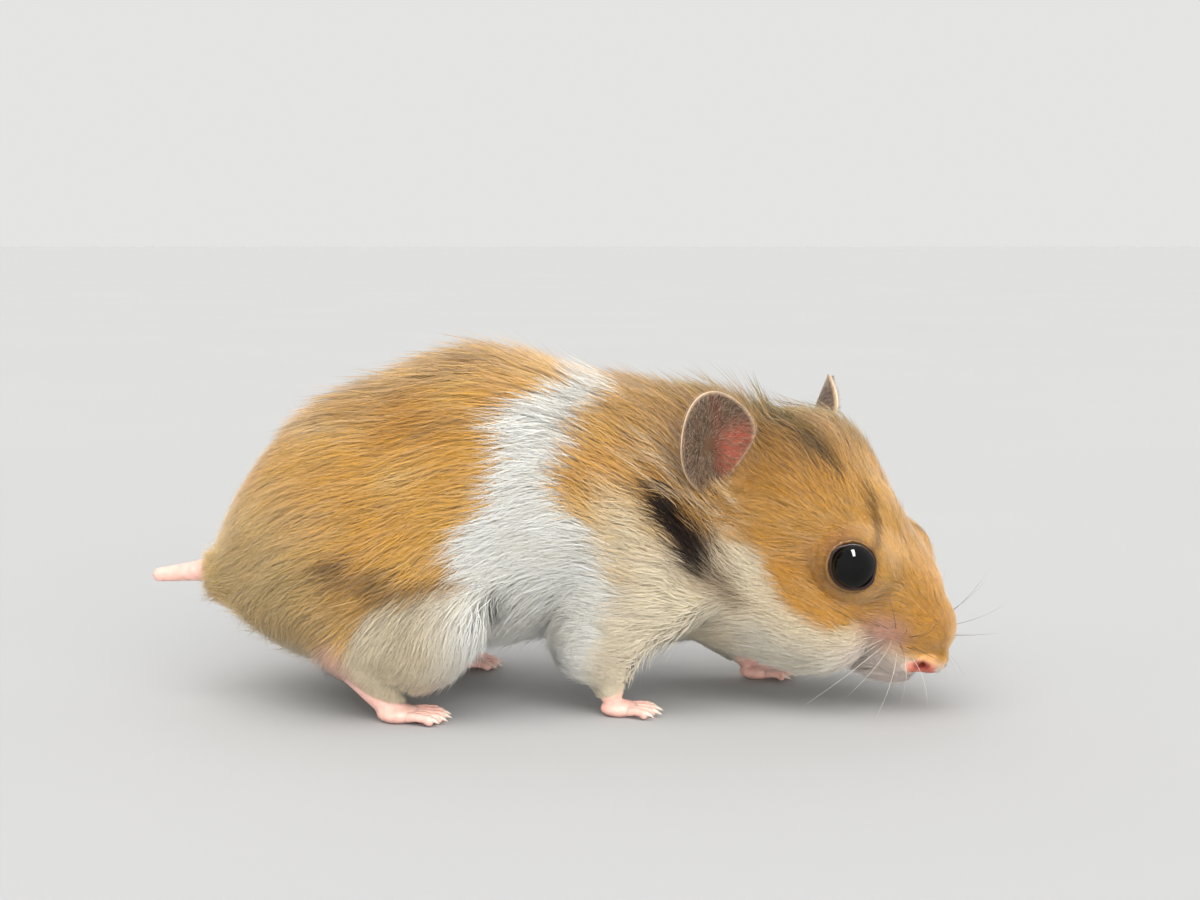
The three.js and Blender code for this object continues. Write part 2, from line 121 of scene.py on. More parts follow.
def bar(points, start, end, start_radius, end_radius):
    """The distance to a line, less a radius that changes evenly from its start to its end."""
    along = end - start
    t = np.clip((points - start) @ along / (along @ along), 0, 1)
    return length_of(points - start - t[:, None] * along) - start_radius - (end_radius - start_radius) * t


def joined(a, b, melt):
    """The smaller of two distances, less melt h^3 / 6, with h from 0 to 1 as they come together."""
    h = np.maximum(melt - np.abs(a - b), 0) / melt
    return np.minimum(a, b) - h**3 * melt / 6


def carved(a, b, melt):
    """The first shape with the second taken out of it."""
    return -joined(-a, b, melt)


# %% [markdown]
# ## Body and coat
# Every mass is listed once, with the radii of the coat's outline and the depth of its hair. The skin
# is the same body with each radius less by that depth, so that skin and outline can't drift apart.
# Hair is deepest on the back and rump, short on the face, and all but gone on feet, tail and nose.

# %% Masses of the trunk and the upper limbs: centre, radii, axes, melt, depth of coat
BODY = {
    "rump": ([-26.5, 0, 25.5], [25.5, 24, 21.5], turned(0, -24), 10, 4.0),
    "loin": ([-10, 0, 30], [23, 23, 23.6], LEVEL, 10, 4.0),
    "ribs": ([9, 0.5, 28.2], [20, 20.5, 21.4], turned(0, 4), 10, 4.0),
    "neck": ([23.5, 1, 28.4], [13.5, 14.2, 18.6], turned(14), 9, 3.5),
    "tail root": ([-46.5, 0, 18.5], [5.5, 5.5, 5.5], LEVEL, 8, 3.0),
    "right haunch": ([-26, -15, 20.5], [16, 10.5, 14.5], turned(0, 25), 6, 3.5),
    "left haunch": ([-25, 15, 20.5], [16, 10.5, 14.5], turned(0, 20), 6, 3.5),
    "right shoulder": ([12, -12.5, 19.5], [11, 8, 12], turned(0, 10), 6, 3.2),
    "left shoulder": ([15, 12.5, 19.5], [11, 8, 12], turned(0, 20), 6, 3.2),
    "right knee": ([-19.5, -18.2, 11.5], [9.5, 6.4, 8.6], LEVEL, 5, 2.5),
    "left knee": ([-15.5, 17.5, 11.5], [9, 6, 8.4], LEVEL, 5, 2.5),
    "right elbow": ([6.5, -14, 11], [7.5, 5.5, 8], LEVEL, 5, 2.2),
    "left elbow": ([18, 13, 11], [7.5, 5, 7], turned(0, 20), 5, 2.2),
}
TAIL = [
    ([-46, 0, 19], [-52.5, 0, 18.8], 2.2, 1.6),
    ([-52.5, 0, 18.8], [-59.6, 0.6, 18], 1.6, 1.05),
]
print(len(BODY), "masses in trunk and upper limbs")

# %% Masses of the head, in its own axes: centre, radii, melt, depth of coat
HEAD_MIDDLE = {
    "cranium": ([-27.5, 0, 10.8], [14, 15, 15.4], 6, 2.2),
    "face": ([-15, 0, 5.2], [13, 10.4, 10.5], 6, 1.6),
    "snout": ([-6.6, 0, 2.4], [7.2, 5.9, 5.9], 5, 1.0),
    "blunt end": ([-2.9, 0, 2.4], [4, 5.1, 4.5], 3, 0.7),
    "nose": ([-0.7, 0, -1.6], [2, 2.6, 1.9], 1.5, 0.2),
    "chin": ([-8.5, 0, -4.4], [7, 4.8, 3.6], 4, 1.2),
}
HEAD_PAIRS = {
    "whisker pad": ([-4.2, 3.2, -1.8], [4.2, 3.1, 3.2], 2, 0.8),
    "brow": ([-15, 6.5, 9.8], [7, 5.4, 5.2], 4, 1.4),
    "cheek": ([-19.3, 8.2, -2.2], [11.5, 7.6, 8.2], 6, 2.0),
    "pouch": ([-29.3, 9, -1.6], [11, 9, 10.5], 7, 2.6),
}

# %% Lower limbs: start, end, radii and depths of coat there; then where each foot stands
SHANKS = {
    "hind_right": [([-22, -18, 11.5], [-29.2, -17.8, 9.4], [6, 2.8], [2, 0.6]),
                   ([-29.7, -17.8, 8.8], [-23, -18.2, 2.3], [2.2, 2.0], [0.1, 0.1])],
    "hind_left": [([-20, 17, 11], [-25.5, 17, 4.5], [5.5, 2.8], [2, 0.6]),
                  ([-26, 17, 2.6], [-17, 17.3, 2.1], [2.3, 2.0], [0.1, 0.1])],
    "fore_right": [([8, -14, 11], [8.5, -14.4, 3.6], [4.4, 2.3], [1.8, 0.4])],
    "fore_left": [([20, 12.5, 11], [30, 10.5, 3.4], [4.4, 2.2], [1.8, 0.4])],
}
FEET = {  # wrist or ankle on the floor, the way the foot points, toes, palm, toe, thickness, spread
    "hind_right": ([-24.2, -18.2, 0], 3, 5, [5, 3], 4.6, 1.0, 20),
    "hind_left": ([-18.5, 17.3, 0], -5, 5, [5, 3], 4.6, 1.0, 20),
    "fore_right": ([7.6, -14.4, 0], 6, 4, [4.6, 2.6], 3.4, 0.9, 24),
    "fore_left": ([29.4, 10.5, 0], 4, 4, [4.6, 2.6], 3.4, 0.9, 24),
}

# %% The whole body as one distance
FAR_OFF = 1e3  # a distance that any mass is nearer than
SHANK_MELT, PALM_MELT, HEAD_MELT, LIMB_MELT, TAIL_MELT = 2, 1, 6, 3, 1.5
PALM_FORWARD, PALM_UP, PALM_LONG, PALM_THICK = 0.5, 1.15, 0.62, 1.35  # of the palm's own measures


def body(points, bare):
    """The distance to the whole animal: to the coat's outline where `bare` is 0, and to the skin
    where it is 1. All masses are joined in the order of the lists."""
    p = points - MOVED
    trunk = np.full(len(p), FAR_OFF)
    for centre, radii, axes, melt, depth in BODY.values():
        trunk = joined(trunk, ellipsoid(p, np.array(centre), axes, np.array(radii) - bare * depth), melt)
    q = in_head(points)
    head = np.full(len(p), FAR_OFF)
    middle = [(np.array(c), *rest) for c, *rest in HEAD_MIDDLE.values()]
    pairs = [(np.array(c) * side, *rest) for c, *rest in HEAD_PAIRS.values() for side in (OTHER_SIDE, 1)]
    for centre, radii, melt, depth in middle + pairs:
        head = joined(head, ellipsoid(q, centre, LEVEL, np.array(radii) - bare * depth), melt)
    limbs = np.full(len(p), FAR_OFF)
    for leg, (wrist, heading, toes, (long, wide), toe, thick, spread) in FEET.items():
        limb = np.full(len(p), FAR_OFF)
        for start, end, radii, depths in SHANKS[leg]:
            thin = np.array(radii) - bare * np.array(depths)
            limb = joined(limb, bar(p, np.array(start), np.array(end), *thin), SHANK_MELT)
        axes = turned(heading)
        palm = np.array(wrist) + axes @ [long * PALM_FORWARD, 0, thick * PALM_UP]
        radii = np.array([long * PALM_LONG, wide, thick * PALM_THICK])
        limb = joined(limb, ellipsoid(p, palm, axes, radii), PALM_MELT)
        limbs = np.minimum(limbs, limb)
    tail = np.full(len(p), FAR_OFF)
    for start, end, *radii in TAIL:
        tail = joined(tail, bar(p, np.array(start, float), np.array(end), *radii), 1)
    whole = joined(joined(trunk, head, HEAD_MELT), limbs, LIMB_MELT)
    return joined(whole, tail, TAIL_MELT)


def outline(points):
    """The distance to the tips of the coat."""
    return body(points, 0)


# %% [markdown]
# ## Features of the face
# Eyes, nostrils, mouth and ear holes are cut into the same field as the body, so the skin flows round
# them without a seam. A low mound rises round each eye and ends in the lids, and the ball of the eye
# sits in a hollow of its own size, which is how deep a hamster's prominent eye sits in life.

# %% Sockets, lids, nostrils, mouth and ear holes
BOTH_SIDES = (OTHER_SIDE, np.ones(3))
EYE_RADIUS = 3.5
EYE_AT = np.array([-13.2, 10.6, 9.4])
EYE_OUT = unit(np.array([0.34, 0.9, 0.24]))  # the way the left eye looks
SOCKET_SLACK = 0.06
MOUND_BEHIND = 1.3  # how far behind the eye's middle the mound round it has its own
MOUND_RADII = np.array([2.3, 4.4, 4.1])
NOSE_PAD = np.array([-1.5, 0, -1.3])  # the middle of the bare pad of the nose
NOSE_PAD_RADII = np.array([2.5, 4.3, 2.1])
NOSTRIL_AT = np.array([-0.6, 3.7, -1.7])
NOSTRIL_RADII = np.array([1.1, 0.55, 0.5])
NOSTRIL_TURN = 38
EAR_HOLE_AT = np.array([-32.2, 13.9, 17.0])
EAR_HOLE_OUT = np.array([0.5, 0.8, 0.3])
EAR_HOLE_RADII = np.array([3.2, 1.5, 2.4])
MOUTH_FRONT, MOUTH_CORNER = np.array([-0.6, 0, -4.5]), np.array([-9, 4.9, -5.2])
LIP_SPLIT = np.array([[1.0, 0, -2.6], [0.0, 0, -4.6]])  # from the nose down to the mouth
UP = [0, 0, 1]


def axes_along(out, up):
    """Axes whose first column is `out`, the last as near `up` as may be."""
    out = unit(np.asarray(out, float))
    left = unit(np.cross(up, out))
    return np.stack([out, left, np.cross(out, left)], axis=1)


HEAD_RELIEF = (  # middle in the head's axes, reach, height
    ([-19, 0, 22.5], [5.5, 9, 5], -1.8),  # crown
    ([-14.6, 0, 17.6], [4, 4.5, 4], 1.9),  # between the brows
    ([-7.6, 0, 14.2], [4, 4.5, 4], -1.1),  # bridge of the snout
    ([0.9, 0, -0.4], [1.7, 1.7, 1.7], 0.7),  # snout over the nose
    ([-11.0, 8.0, 13.4], [4, 4, 3], -1.0),  # over the left eye
    ([-30, -19.5, 0], [5, 5, 6], 2.4),  # fold behind the right pouch
)
BODY_RELIEF = (([-11, -19.5, 16], [4.5, 4.5, 4.5], 2.0),)  # fold in front of the right thigh


def bare_body(points):
    """The skin without openings: the flesh, raised or lowered by a hump at each place of relief,
    and a low mound round each eye."""
    q = in_head(points)
    d = body(points, 1)
    for local, relief in ((q, HEAD_RELIEF), (points, BODY_RELIEF)):
        for middle, reach, height in relief:
            d = d - height * hump(local, middle, reach)
    for side in BOTH_SIDES:
        look = axes_along(EYE_OUT * side, UP)
        mound = EYE_AT * side - MOUND_BEHIND * look[:, 0]
        d = joined(d, ellipsoid(q, mound, look, MOUND_RADII), 2.6)
    return d


def skin(points):
    """The distance to the bare skin, with the face's features cut into it."""
    d = bare_body(points)
    q = in_head(points)
    d = joined(d, ellipsoid(q, NOSE_PAD, LEVEL, NOSE_PAD_RADII), 1.2)
    for side in BOTH_SIDES:
        d = carved(d, length_of(q - EYE_AT * side) - EYE_RADIUS + SOCKET_SLACK, 0.25)
        nostril = turned(-NOSTRIL_TURN * side[1])
        d = carved(d, ellipsoid(q, NOSTRIL_AT * side, nostril, NOSTRIL_RADII), 0.3)
        hole = axes_along(EAR_HOLE_OUT * side, UP)
        d = carved(d, ellipsoid(q, EAR_HOLE_AT * side, hole, EAR_HOLE_RADII), 1.0)
        d = carved(d, bar(q, MOUTH_FRONT, MOUTH_CORNER * side, 0.42, 0.3), 0.5)
    return carved(d, bar(q, *LIP_SPLIT, 0.32, 0.32), 0.4)


# %% [markdown]
# ## From a field to a surface
# A distance has no faces, so it is read on a grid: each cell that the surface passes through gets one
# point, at the middle of the crossings on its edges, and each crossed edge joins the four cells round
# it. The grid is fine at the face and feet and coarser along the back, where hair hides it, and most
# of it is never read, because a rough pass finds where the surface can be.

# %% A grid that is fine where the detail is
GROWS_OVER = 9  # how many mm past the fine stretch the steps are widest


def steps(low, high, fine_from, fine_to, fine, wide):
    """Places along one axis: steps of `fine` inside the fine stretch, growing to `wide` beyond it."""
    dense = np.linspace(low, high, 2000)
    away = np.maximum(np.maximum(fine_from - dense, dense - fine_to), 0)
    step = fine + (wide - fine) * np.clip(away / GROWS_OVER, 0, 1)
    count = np.concatenate([[0], np.cumsum(np.diff(dense) / step[1:])])
    return np.interp(np.arange(0, count[-1]), count, dense)


ROUGH = 4  # the rough pass reads every fourth place
REACH = 5.0  # and keeps what is this near the surface, in mm


def grid_values(field, places):
    """The field on the grid of three lists of places, read finely only near the surface."""
    rough = [axis[::ROUGH] for axis in places]
    rough_points = np.stack(np.meshgrid(*rough, indexing="ij"), -1)
    values = field(rough_points.reshape(-1, 3)).reshape(rough_points.shape[:3])
    for axis, count in enumerate(map(len, places)):
        values = np.take(np.repeat(values, ROUGH, axis), np.arange(count), axis)
    near = np.argwhere(np.abs(values) < REACH)
    values[tuple(near.T)] = field(np.stack([places[i][near[:, i]] for i in range(3)], 1))
    return values


# %% One point for each crossed cell, one square for each crossed edge


def slope(field, points, probe=0.04):
    """How fast a field grows along x, y and z, from a small step along each."""
    here = field(points)
    return here, np.stack([(field(points + probe * way) - here) / probe for way in LEVEL], 1)


def drawn_to(field, points, passes, most):
    """Points moved along the slope until they lie on the surface, by at most `most` each pass."""
    for _ in range(passes):
        here, rise = slope(field, points)
        steep = np.maximum(length_of(rise), 0.2)
        points = points - rise * np.clip(here / steep, -most, most)[:, None] / steep[:, None]
    return points


def crossings(values):
    """The middle of each crossed cell's crossings, in grid steps, and each cell's number."""
    inside = values < 0
    shape = np.array(values.shape) - 1
    corners = list(np.ndindex(2, 2, 2))
    count = np.zeros(shape, int)
    for corner in corners:
        count += inside[tuple(slice(c, c + n) for c, n in zip(corner, shape))]
    cells = np.argwhere((count > 0) & (count < 8))
    total = np.zeros((len(cells), 3))
    crossed = np.zeros(len(cells))
    for corner in corners:
        for axis in np.flatnonzero(np.array(corner) == 0):
            ahead = np.array(corner) + (np.arange(3) == axis)
            a = values[tuple((cells + corner).T)]
            b = values[tuple((cells + ahead).T)]
            cut = (a < 0) != (b < 0)
            share = np.where(cut, a / np.where(cut, a - b, 1), 0)
            total += cut[:, None] * (cells + corner + share[:, None] * (np.arange(3) == axis))
            crossed += cut
    number = np.full(shape, -1)
    number[tuple(cells.T)] = np.arange(len(cells))
    return total / crossed[:, None], number


def triangles_round(values, number, points):
    """Two triangles for each crossed edge, cut along the shorter diagonal, facing outwards."""
    squares = []
    for axis in range(3):
        ahead = tuple(slice(int(i == axis), None) for i in range(3))
        here = tuple(slice(0, values.shape[i] - int(i == axis)) for i in range(3))
        inside = values[here] < 0
        edges = np.argwhere(inside != (values[ahead] < 0))
        u, v = (axis + 1) % 3, (axis + 2) % 3
        ring = []
        for back_u, back_v in ((1, 1), (0, 1), (0, 0), (1, 0)):
            cell = edges.copy()
            cell[:, u] -= back_u
            cell[:, v] -= back_v
            ring.append(number[tuple(cell.T)])
        ring = np.stack(ring, 1)
        turn = ~inside[tuple(edges.T)]
        ring[turn] = ring[turn, ::-1]
        squares.append(ring)
    a, b, c, d = np.concatenate(squares).T
    short = length_of(points[a] - points[c]) < length_of(points[b] - points[d])
    first = np.where(short[:, None], np.stack([a, b, c], 1), np.stack([b, c, d], 1))
    second = np.where(short[:, None], np.stack([a, c, d], 1), np.stack([b, d, a], 1))
    return np.concatenate([first, second])


# %% The skin of the body
places = [
    steps(-62.5, 62.5, 36, 61, 0.32, 0.72),  # along: fine at the face
    steps(-24, 25, -20, -5, 0.36, 0.62),  # across: fine on the right, where the head turns
    steps(-1.5, 51, 2, 28, 0.36, 0.62),  # up: fine over the feet and face
]
values = grid_values(skin, places)
cell_points, cell_number = crossings(values)
body_points = np.stack(
    [np.interp(cell_points[:, i], np.arange(len(axis)), axis) for i, axis in enumerate(places)], 1
)
body_points = drawn_to(skin, body_points, 2, 0.2)
body_triangles = triangles_round(values, cell_number, body_points)
body_points[:, 2] = np.maximum(body_points[:, 2], 0)  # soles lie flat on the floor
print("body skin", len(body_points), "points,", len(body_triangles), "triangles")

# %% [markdown]
# ## Shapes carried along a path
# Toes, claws, whiskers and tufts of hair are all the same kind of thing: a small ring carried along
# a path, wide in the middle and closed at both ends. One function makes a whole family of them at
# once, with the rings flattened where `flat` is less than one.

# %% Many closed tubes at once


def ring_faces(rows, around):
    """The triangles of a closed surface: a first point, `rows` rings of `around` points, and a last
    point. Rings run so that the faces point outwards on a tube."""
    a = np.arange(around)
    b = (a + 1) % around
    faces = [np.stack([0 * a, 1 + a, 1 + b], 1)]
    for row in range(rows - 1):
        low, high = 1 + row * around, 1 + (row + 1) * around
        faces += [np.stack([low + b, low + a, high + b], 1), np.stack([high + b, low + a, high + a], 1)]
    last, end = 1 + (rows - 1) * around, 1 + rows * around
    faces.append(np.stack([last + b, last + a, end + 0 * a], 1))
    return np.concatenate(faces)


def tubes(paths, radii, above, around, flat=1.0):
    """Closed tubes. `paths` is tube x station x 3. The first and last stations are single end
    points, and the others rings: path + radius (cos a side + flat sin a above), where side is at
    right angles to the path and to `above`."""
    count, stations = paths.shape[:2]
    along = unit(np.gradient(paths, axis=1))
    side = unit(np.cross(along, above))
    top = np.cross(side, along)
    angle = (np.arange(around) + 0.5) * 2 * np.pi / around - np.pi / 2
    ring = np.cos(angle)[:, None] * side[:, :, None] + flat * np.sin(angle)[:, None] * top[:, :, None]
    rings = (paths[:, :, None] + radii[:, :, None, None] * ring)[:, 1:-1]
    points = np.concatenate([paths[:, :1], rings.reshape(count, -1, 3), paths[:, -1:]], 1)
    each = points.shape[1]
    triangles = np.arange(count)[:, None, None] * each + ring_faces(stations - 2, around)
    return points.reshape(-1, 3), triangles.reshape(-1, 3)


# %% [markdown]
# ## Toes and claws
# A hamster stands on four toes in front and five behind, each a soft bar with a round pad at its
# end. The toes belong to the skin. The claws are horn, so they are a piece of their own, thin and
# bent down towards the floor.

# %% Where each toe starts and ends
ROOT_FORWARD, ROOT_ACROSS, ROOT_UP = 0.82, 0.72, 1.05  # of the palm's length, width and thickness
SHORTER_OUTSIDE = 0.22  # how much shorter the outer toes are
TOE_SLOPE = -0.06
ARCH = 0.25
toe_start, toe_end, toe_thick = [], [], []
for leg, (wrist, heading, toes, (long, wide), toe, thick, spread) in FEET.items():
    across = np.linspace(-1, 1, toes)
    fan = np.radians(spread * across)
    level = np.ones(toes)
    root = [level * long * ROOT_FORWARD, -wide * ROOT_ACROSS * across, level * thick * ROOT_UP]
    root = np.stack(root, 1)
    reach = toe * (1 - SHORTER_OUTSIDE * across**2)
    tip = root + reach[:, None] * np.stack([np.cos(fan), -np.sin(fan), level * TOE_SLOPE], 1)
    axes = turned(heading)
    base = np.array(wrist) + MOVED
    toe_start.append(root @ axes.T + base)
    toe_end.append(tip @ axes.T + base)
    toe_thick.append(level * thick)
toe_start, toe_end = np.concatenate(toe_start), np.concatenate(toe_end)
toe_thick = np.concatenate(toe_thick)
TOE_SHARES = np.array([-0.25, -0.2, 0.0, 0.2, 0.4, 0.55, 0.7, 0.85, 0.97, 1.06, 1.12, 1.15])
TOE_GIRTH = np.array([0, 0.5, 0.72, 0.7, 0.62, 0.66, 0.6, 0.72, 0.74, 0.6, 0.34, 0])
along = toe_end - toe_start
toe_paths = toe_start[:, None] + TOE_SHARES[:, None] * along[:, None]
toe_paths[:, :, 2] += ARCH * toe_thick[:, None] * np.sin(np.pi * np.clip(TOE_SHARES, 0, 1))
toe_radii = TOE_GIRTH * toe_thick[:, None]
toe_points, toe_triangles = tubes(toe_paths, toe_radii, np.array(UP), 10)
toe_points[:, 2] = np.maximum(toe_points[:, 2], 0.02)
print(len(toe_paths), "toes")

# %% [markdown]
# ## Ears
# The ear is a thin leaf, cupped and leaning back, with a crease where its front edge turns in. It
# could be modelled face by face, but its outline and its hollow are two short formulas, and the
# front and back of the leaf are the same surface moved apart by its thickness.

# %% The leaf of an ear
EARS = {
    "right": ([-32.4, -16.2, 11.4], [-37.8, -21.8, 26.2], [0.88, -0.46, 0.12], 1),
    "left": ([-32.4, 15, 11.6], [-36.4, 20.8, 26], [0.9, 0.43, 0.12], -1),
}
EAR_LENGTH, EAR_HALF_WIDTH, EAR_CUP, EAR_THICK = 17, 6.6, 3.2, 0.5
EAR_HEART = 0.52  # how far up the leaf its heart is
EAR_CREASE = 0.28  # how far the crease is from the middle line, of the half width
TIP_LEAN = 1.6


def ear_axes(base, tip, opens):
    """The ear's axes in the head's: the way it opens, across, and from base to tip."""
    up = unit(np.array(tip) - np.array(base))
    face = unit(np.array(opens) - np.dot(opens, up) * up)
    return np.stack([face, np.cross(up, face), up], 1)


def ear_width(t):
    """Half the leaf's width in the direction t round it, widest above the middle."""
    return EAR_HALF_WIDTH * (0.62 + 0.38 * np.sin(np.pi / 2 * np.minimum(1, (1 + np.cos(t)) * 0.75)))


def ear_bow(across, high, front):
    """How far out of the ear's plane the middle of the leaf is. Its hollow grows with the square of
    the distance from a crease, which lies towards the front edge, and the tip leans forward."""
    from_crease = across * front / EAR_HALF_WIDTH - EAR_CREASE
    bow = (from_crease / np.where(from_crease > 0, 1 - EAR_CREASE, 1 + EAR_CREASE)) ** 2
    return EAR_CUP * (bow - 0.75) + TIP_LEAN * (high / EAR_LENGTH) ** 2 - 0.6


def ear_leaf(r, t, front):
    """A point of the leaf, r from its heart (0) to its rim (1) and t round it."""
    y = r * ear_width(t) * np.sin(t)
    z = EAR_LENGTH * (EAR_HEART + (1 - EAR_HEART) * r * np.cos(t))
    return np.stack([ear_bow(y, z, front), y, z], -1)


def ear_surface(turn, t, front):
    """A place on the closed leaf: down its front from the heart (turn 0) to the rim (turn pi / 2),
    and up its back, half its thickness to each side, with a round rim."""
    points = ear_leaf(np.sin(turn) ** 0.7, t, front)
    points[..., 0] += EAR_THICK / 2 * np.sign(np.cos(turn)) * np.abs(np.cos(turn)) ** 0.4
    return points


def ear_shell(base, tip, opens, front):
    """The whole leaf as a closed surface, in the world."""
    turn = np.linspace(0, np.pi, 29)[1:-1, None]
    t = np.linspace(0, 2 * np.pi, 80, endpoint=False)[None]
    rings = ear_surface(turn + 0 * t, t + 0 * turn, front).reshape(-1, 3)
    hearts = ear_surface(np.array([0.0, np.pi]), np.zeros(2), front)
    local = np.concatenate([hearts[:1], rings, hearts[1:]])
    points = from_head(local @ ear_axes(base, tip, opens).T + np.array(base))
    return points, ring_faces(turn.shape[0], t.shape[1])


def ear_reach(leaf):
    """r, from 0 at the leaf's heart to 1 on its rim, for places of the leaf."""
    high = (leaf[:, 2] / EAR_LENGTH - EAR_HEART) / (1 - EAR_HEART)
    t = np.arctan2(leaf[:, 1] / (0.85 * EAR_HALF_WIDTH), high)
    return np.hypot(leaf[:, 1] / ear_width(t), high)


ear_parts = {name: ear_shell(*ear) for name, ear in EARS.items()}

# %% [markdown]
# ## Lids
# The lid of a hamster's eye is a narrow dark rim, bare and a little moist, drawn out to a corner in
# front and behind. It is a thin ring laid on the ball where the mound of the face meets it, and it
# is part of the skin.

# %% The rim of each eye
LID_RADIUS, LID_TUBE = 3.1, 0.17
LID_REACH = 3.42  # how far from the eye's middle the skin is as dark as the lid
LID_STEPS, LID_AROUND = 64, 10
LID_CORNERS = (2.8, -0.5)  # radians round the eye
CORNER_SOFT = 0.08


def lid(side):
    """A ring round the way the eye looks. Its half width grows at two corners, and it lies on the
    ball: centre + sqrt(R^2 - w^2) out + w (cos a forward + sin a up), plus the tube's own round."""
    look = axes_along(EYE_OUT * side, UP)
    a = np.linspace(0, 2 * np.pi, LID_STEPS, endpoint=False)[:, None]
    b = np.linspace(0, 2 * np.pi, LID_AROUND, endpoint=False)[None]
    corner = sum(np.exp(-(((np.cos(a - at) - 1) / CORNER_SOFT) ** 2)) for at in LID_CORNERS)
    tube = LID_TUBE * (1 + 0.5 * corner)
    w = LID_RADIUS + 0.25 * corner + tube * np.cos(b)
    height = np.sqrt(EYE_RADIUS**2 - LID_RADIUS**2) - 0.1 + tube * np.sin(b) * 0.9
    forward = side[1]  # the middle axis points back on one side and forward on the other
    points = (
        EYE_AT * side
        + height[..., None] * look[:, 0]
        - forward * (w * np.cos(a))[..., None] * look[:, 1]
        + (w * np.sin(a))[..., None] * look[:, 2]
    )
    here = np.arange(LID_STEPS * LID_AROUND).reshape(LID_STEPS, LID_AROUND)
    ahead = np.roll(here, -1, 0)
    square = np.stack([here, ahead, np.roll(ahead, -1, 1), np.roll(here, -1, 1)], -1).reshape(-1, 4)
    faces = np.concatenate([square[:, [0, 1, 2]], square[:, [0, 2, 3]]])
    return from_head(points.reshape(-1, 3)), faces if forward > 0 else faces[:, ::-1]


lid_parts = [lid(side) for side in BOTH_SIDES]

# %% [markdown]
# ## Markings
# Skin and coat wear the same markings, so the markings are one function of a place on the body. They
# are laid out as a maker would paint them: golden all over, then a white band and belly with named
# edges, a dark flash on the cheek, a dark streak over the crown, and so on, each with a soft edge.
# A few layers are painted shade instead: a band along the haunches, a greyer rear underside and a
# line in a crease of the right flank, and the lips are painted lighter as light from below.

# %% Colours


def shade(red, green, blue):
    """A colour given from 0 to 255, as the light it gives back."""
    c = np.array([red, green, blue]) / 255
    return np.where(c <= 0.04045, c / 12.92, ((c + 0.055) / 1.055) ** 2.4)


GOLD = shade(235, 175, 78)
DEEP_GOLD = shade(216, 148, 58)
PALE_GOLD = shade(242, 206, 138)
BROWN = shade(126, 84, 38)
DARK = shade(24, 14, 8)
# a greyish brown that is painted shade on the coat, not a colour of the hair
PAINTED_SHADE_BROWN = shade(150, 118, 76)
CREAM = shade(244, 226, 190)
WHITE = shade(253, 249, 237)
UNDERFUR = shade(120, 108, 98)
PINK = shade(234, 186, 172)
NOSE_PINK = shade(206, 122, 98)
LID_DARK = shade(40, 22, 20)
EAR_GREY = shade(104, 78, 58)
EAR_PINK = shade(186, 92, 70)
# a deep red-dark that is painted shade in nostrils, ear holes and the ear's crease
HOLLOW_SHADE_RED = shade(110, 26, 14)
EAR_RIM = shade(214, 186, 150)
EAR_DOWN = shade(206, 178, 146)
# LIP_WHITE: the white of lips and chin, painted lighter than their own colour as light from below
LIP_WHITE = shade(252, 228, 216)
PAD_PINK = shade(232, 172, 156)
EYE_CORNER = shade(170, 104, 70)
NOSE_BLOTCH = shade(180, 84, 66)
HORN = shade(226, 206, 190)
WHISKER_DARK = shade(60, 44, 36)
WHISKER_PALE = shade(200, 186, 172)


def soft_step(value, soft):
    """0 below minus `soft`, 1 above `soft`, and an even ease between."""
    t = np.clip(value / (2 * soft) + 0.5, 0, 1)
    return t * t * (3 - 2 * t)


def painted(colours, over, share):
    """Colours with another laid over them by a share from 0 to 1."""
    return colours + (over - colours) * share[:, None]


def layered(colours, *layers):
    """Colours with each layer laid over them in turn. A layer is a colour and its share."""
    for over, share in layers:
        colours = painted(colours, over, share)
    return colours


def plain(colour, count):
    """The same colour for each of `count` points."""
    return np.tile(colour, (count, 1))


LATTICE = 32  # cells before the noise repeats


def soft_noise(points, cell, seed):
    """Smooth random values from -1 to 1: random numbers on a cubic lattice, eased between the eight
    corners round each point."""
    lattice = np.random.default_rng(seed).uniform(-1, 1, [LATTICE] * 3)
    place = points / cell
    low = np.floor(place).astype(int)
    ease = place - low
    ease = ease * ease * (3 - 2 * ease)
    value = np.zeros(len(points))
    for corner in np.ndindex(2, 2, 2):
        share = np.prod(np.where(corner, ease, 1 - ease), axis=1)
        i, j, k = ((low + corner) % LATTICE).T
        value += share * lattice[i, j, k]
    return value


def path_distance(u, v, path):
    """The distance in a flat view from each point to a path of straight lines."""
    best = np.full(len(u), np.inf)
    for (u0, v0), (u1, v1) in zip(path[:-1], path[1:]):
        du, dv = u1 - u0, v1 - v0
        t = np.clip(((u - u0) * du + (v - v0) * dv) / (du * du + dv * dv), 0, 1)
        best = np.minimum(best, np.hypot(u - u0 - t * du, v - v0 - t * dv))
    return best


# %% Edges of the markings, in mm
# For the trunk, heights above the floor and how far forward the edge is at each.
BAND_REAR = (
    [18, 22, 26.4, 30, 33.7, 40.3, 44.6, 47.8, 49.3, 53],
    [-12, -13.9, -14.5, -10.3, -9, -7.5, -8.5, 1.2, 2.6, 4.5],
)
BAND_FRONT = (
    [20.5, 22.8, 27.3, 31.2, 35, 39, 43.2, 47.6, 50, 53],
    [9.2, 7.8, 6.3, 1, 1, 3.3, 4.7, 8.6, 6.8, 5.5],
)
# How far forward a place is, and the height below which the underside is pale there.
UNDERSIDE = (
    [-60, -45, -34, -28.5, -26, -22, -14, -9, 9, 16, 22, 40],
    [12, 11.5, 9.5, 9.5, 15, 18, 18.5, 20, 20.5, 20.5, 17.5, 15],
)
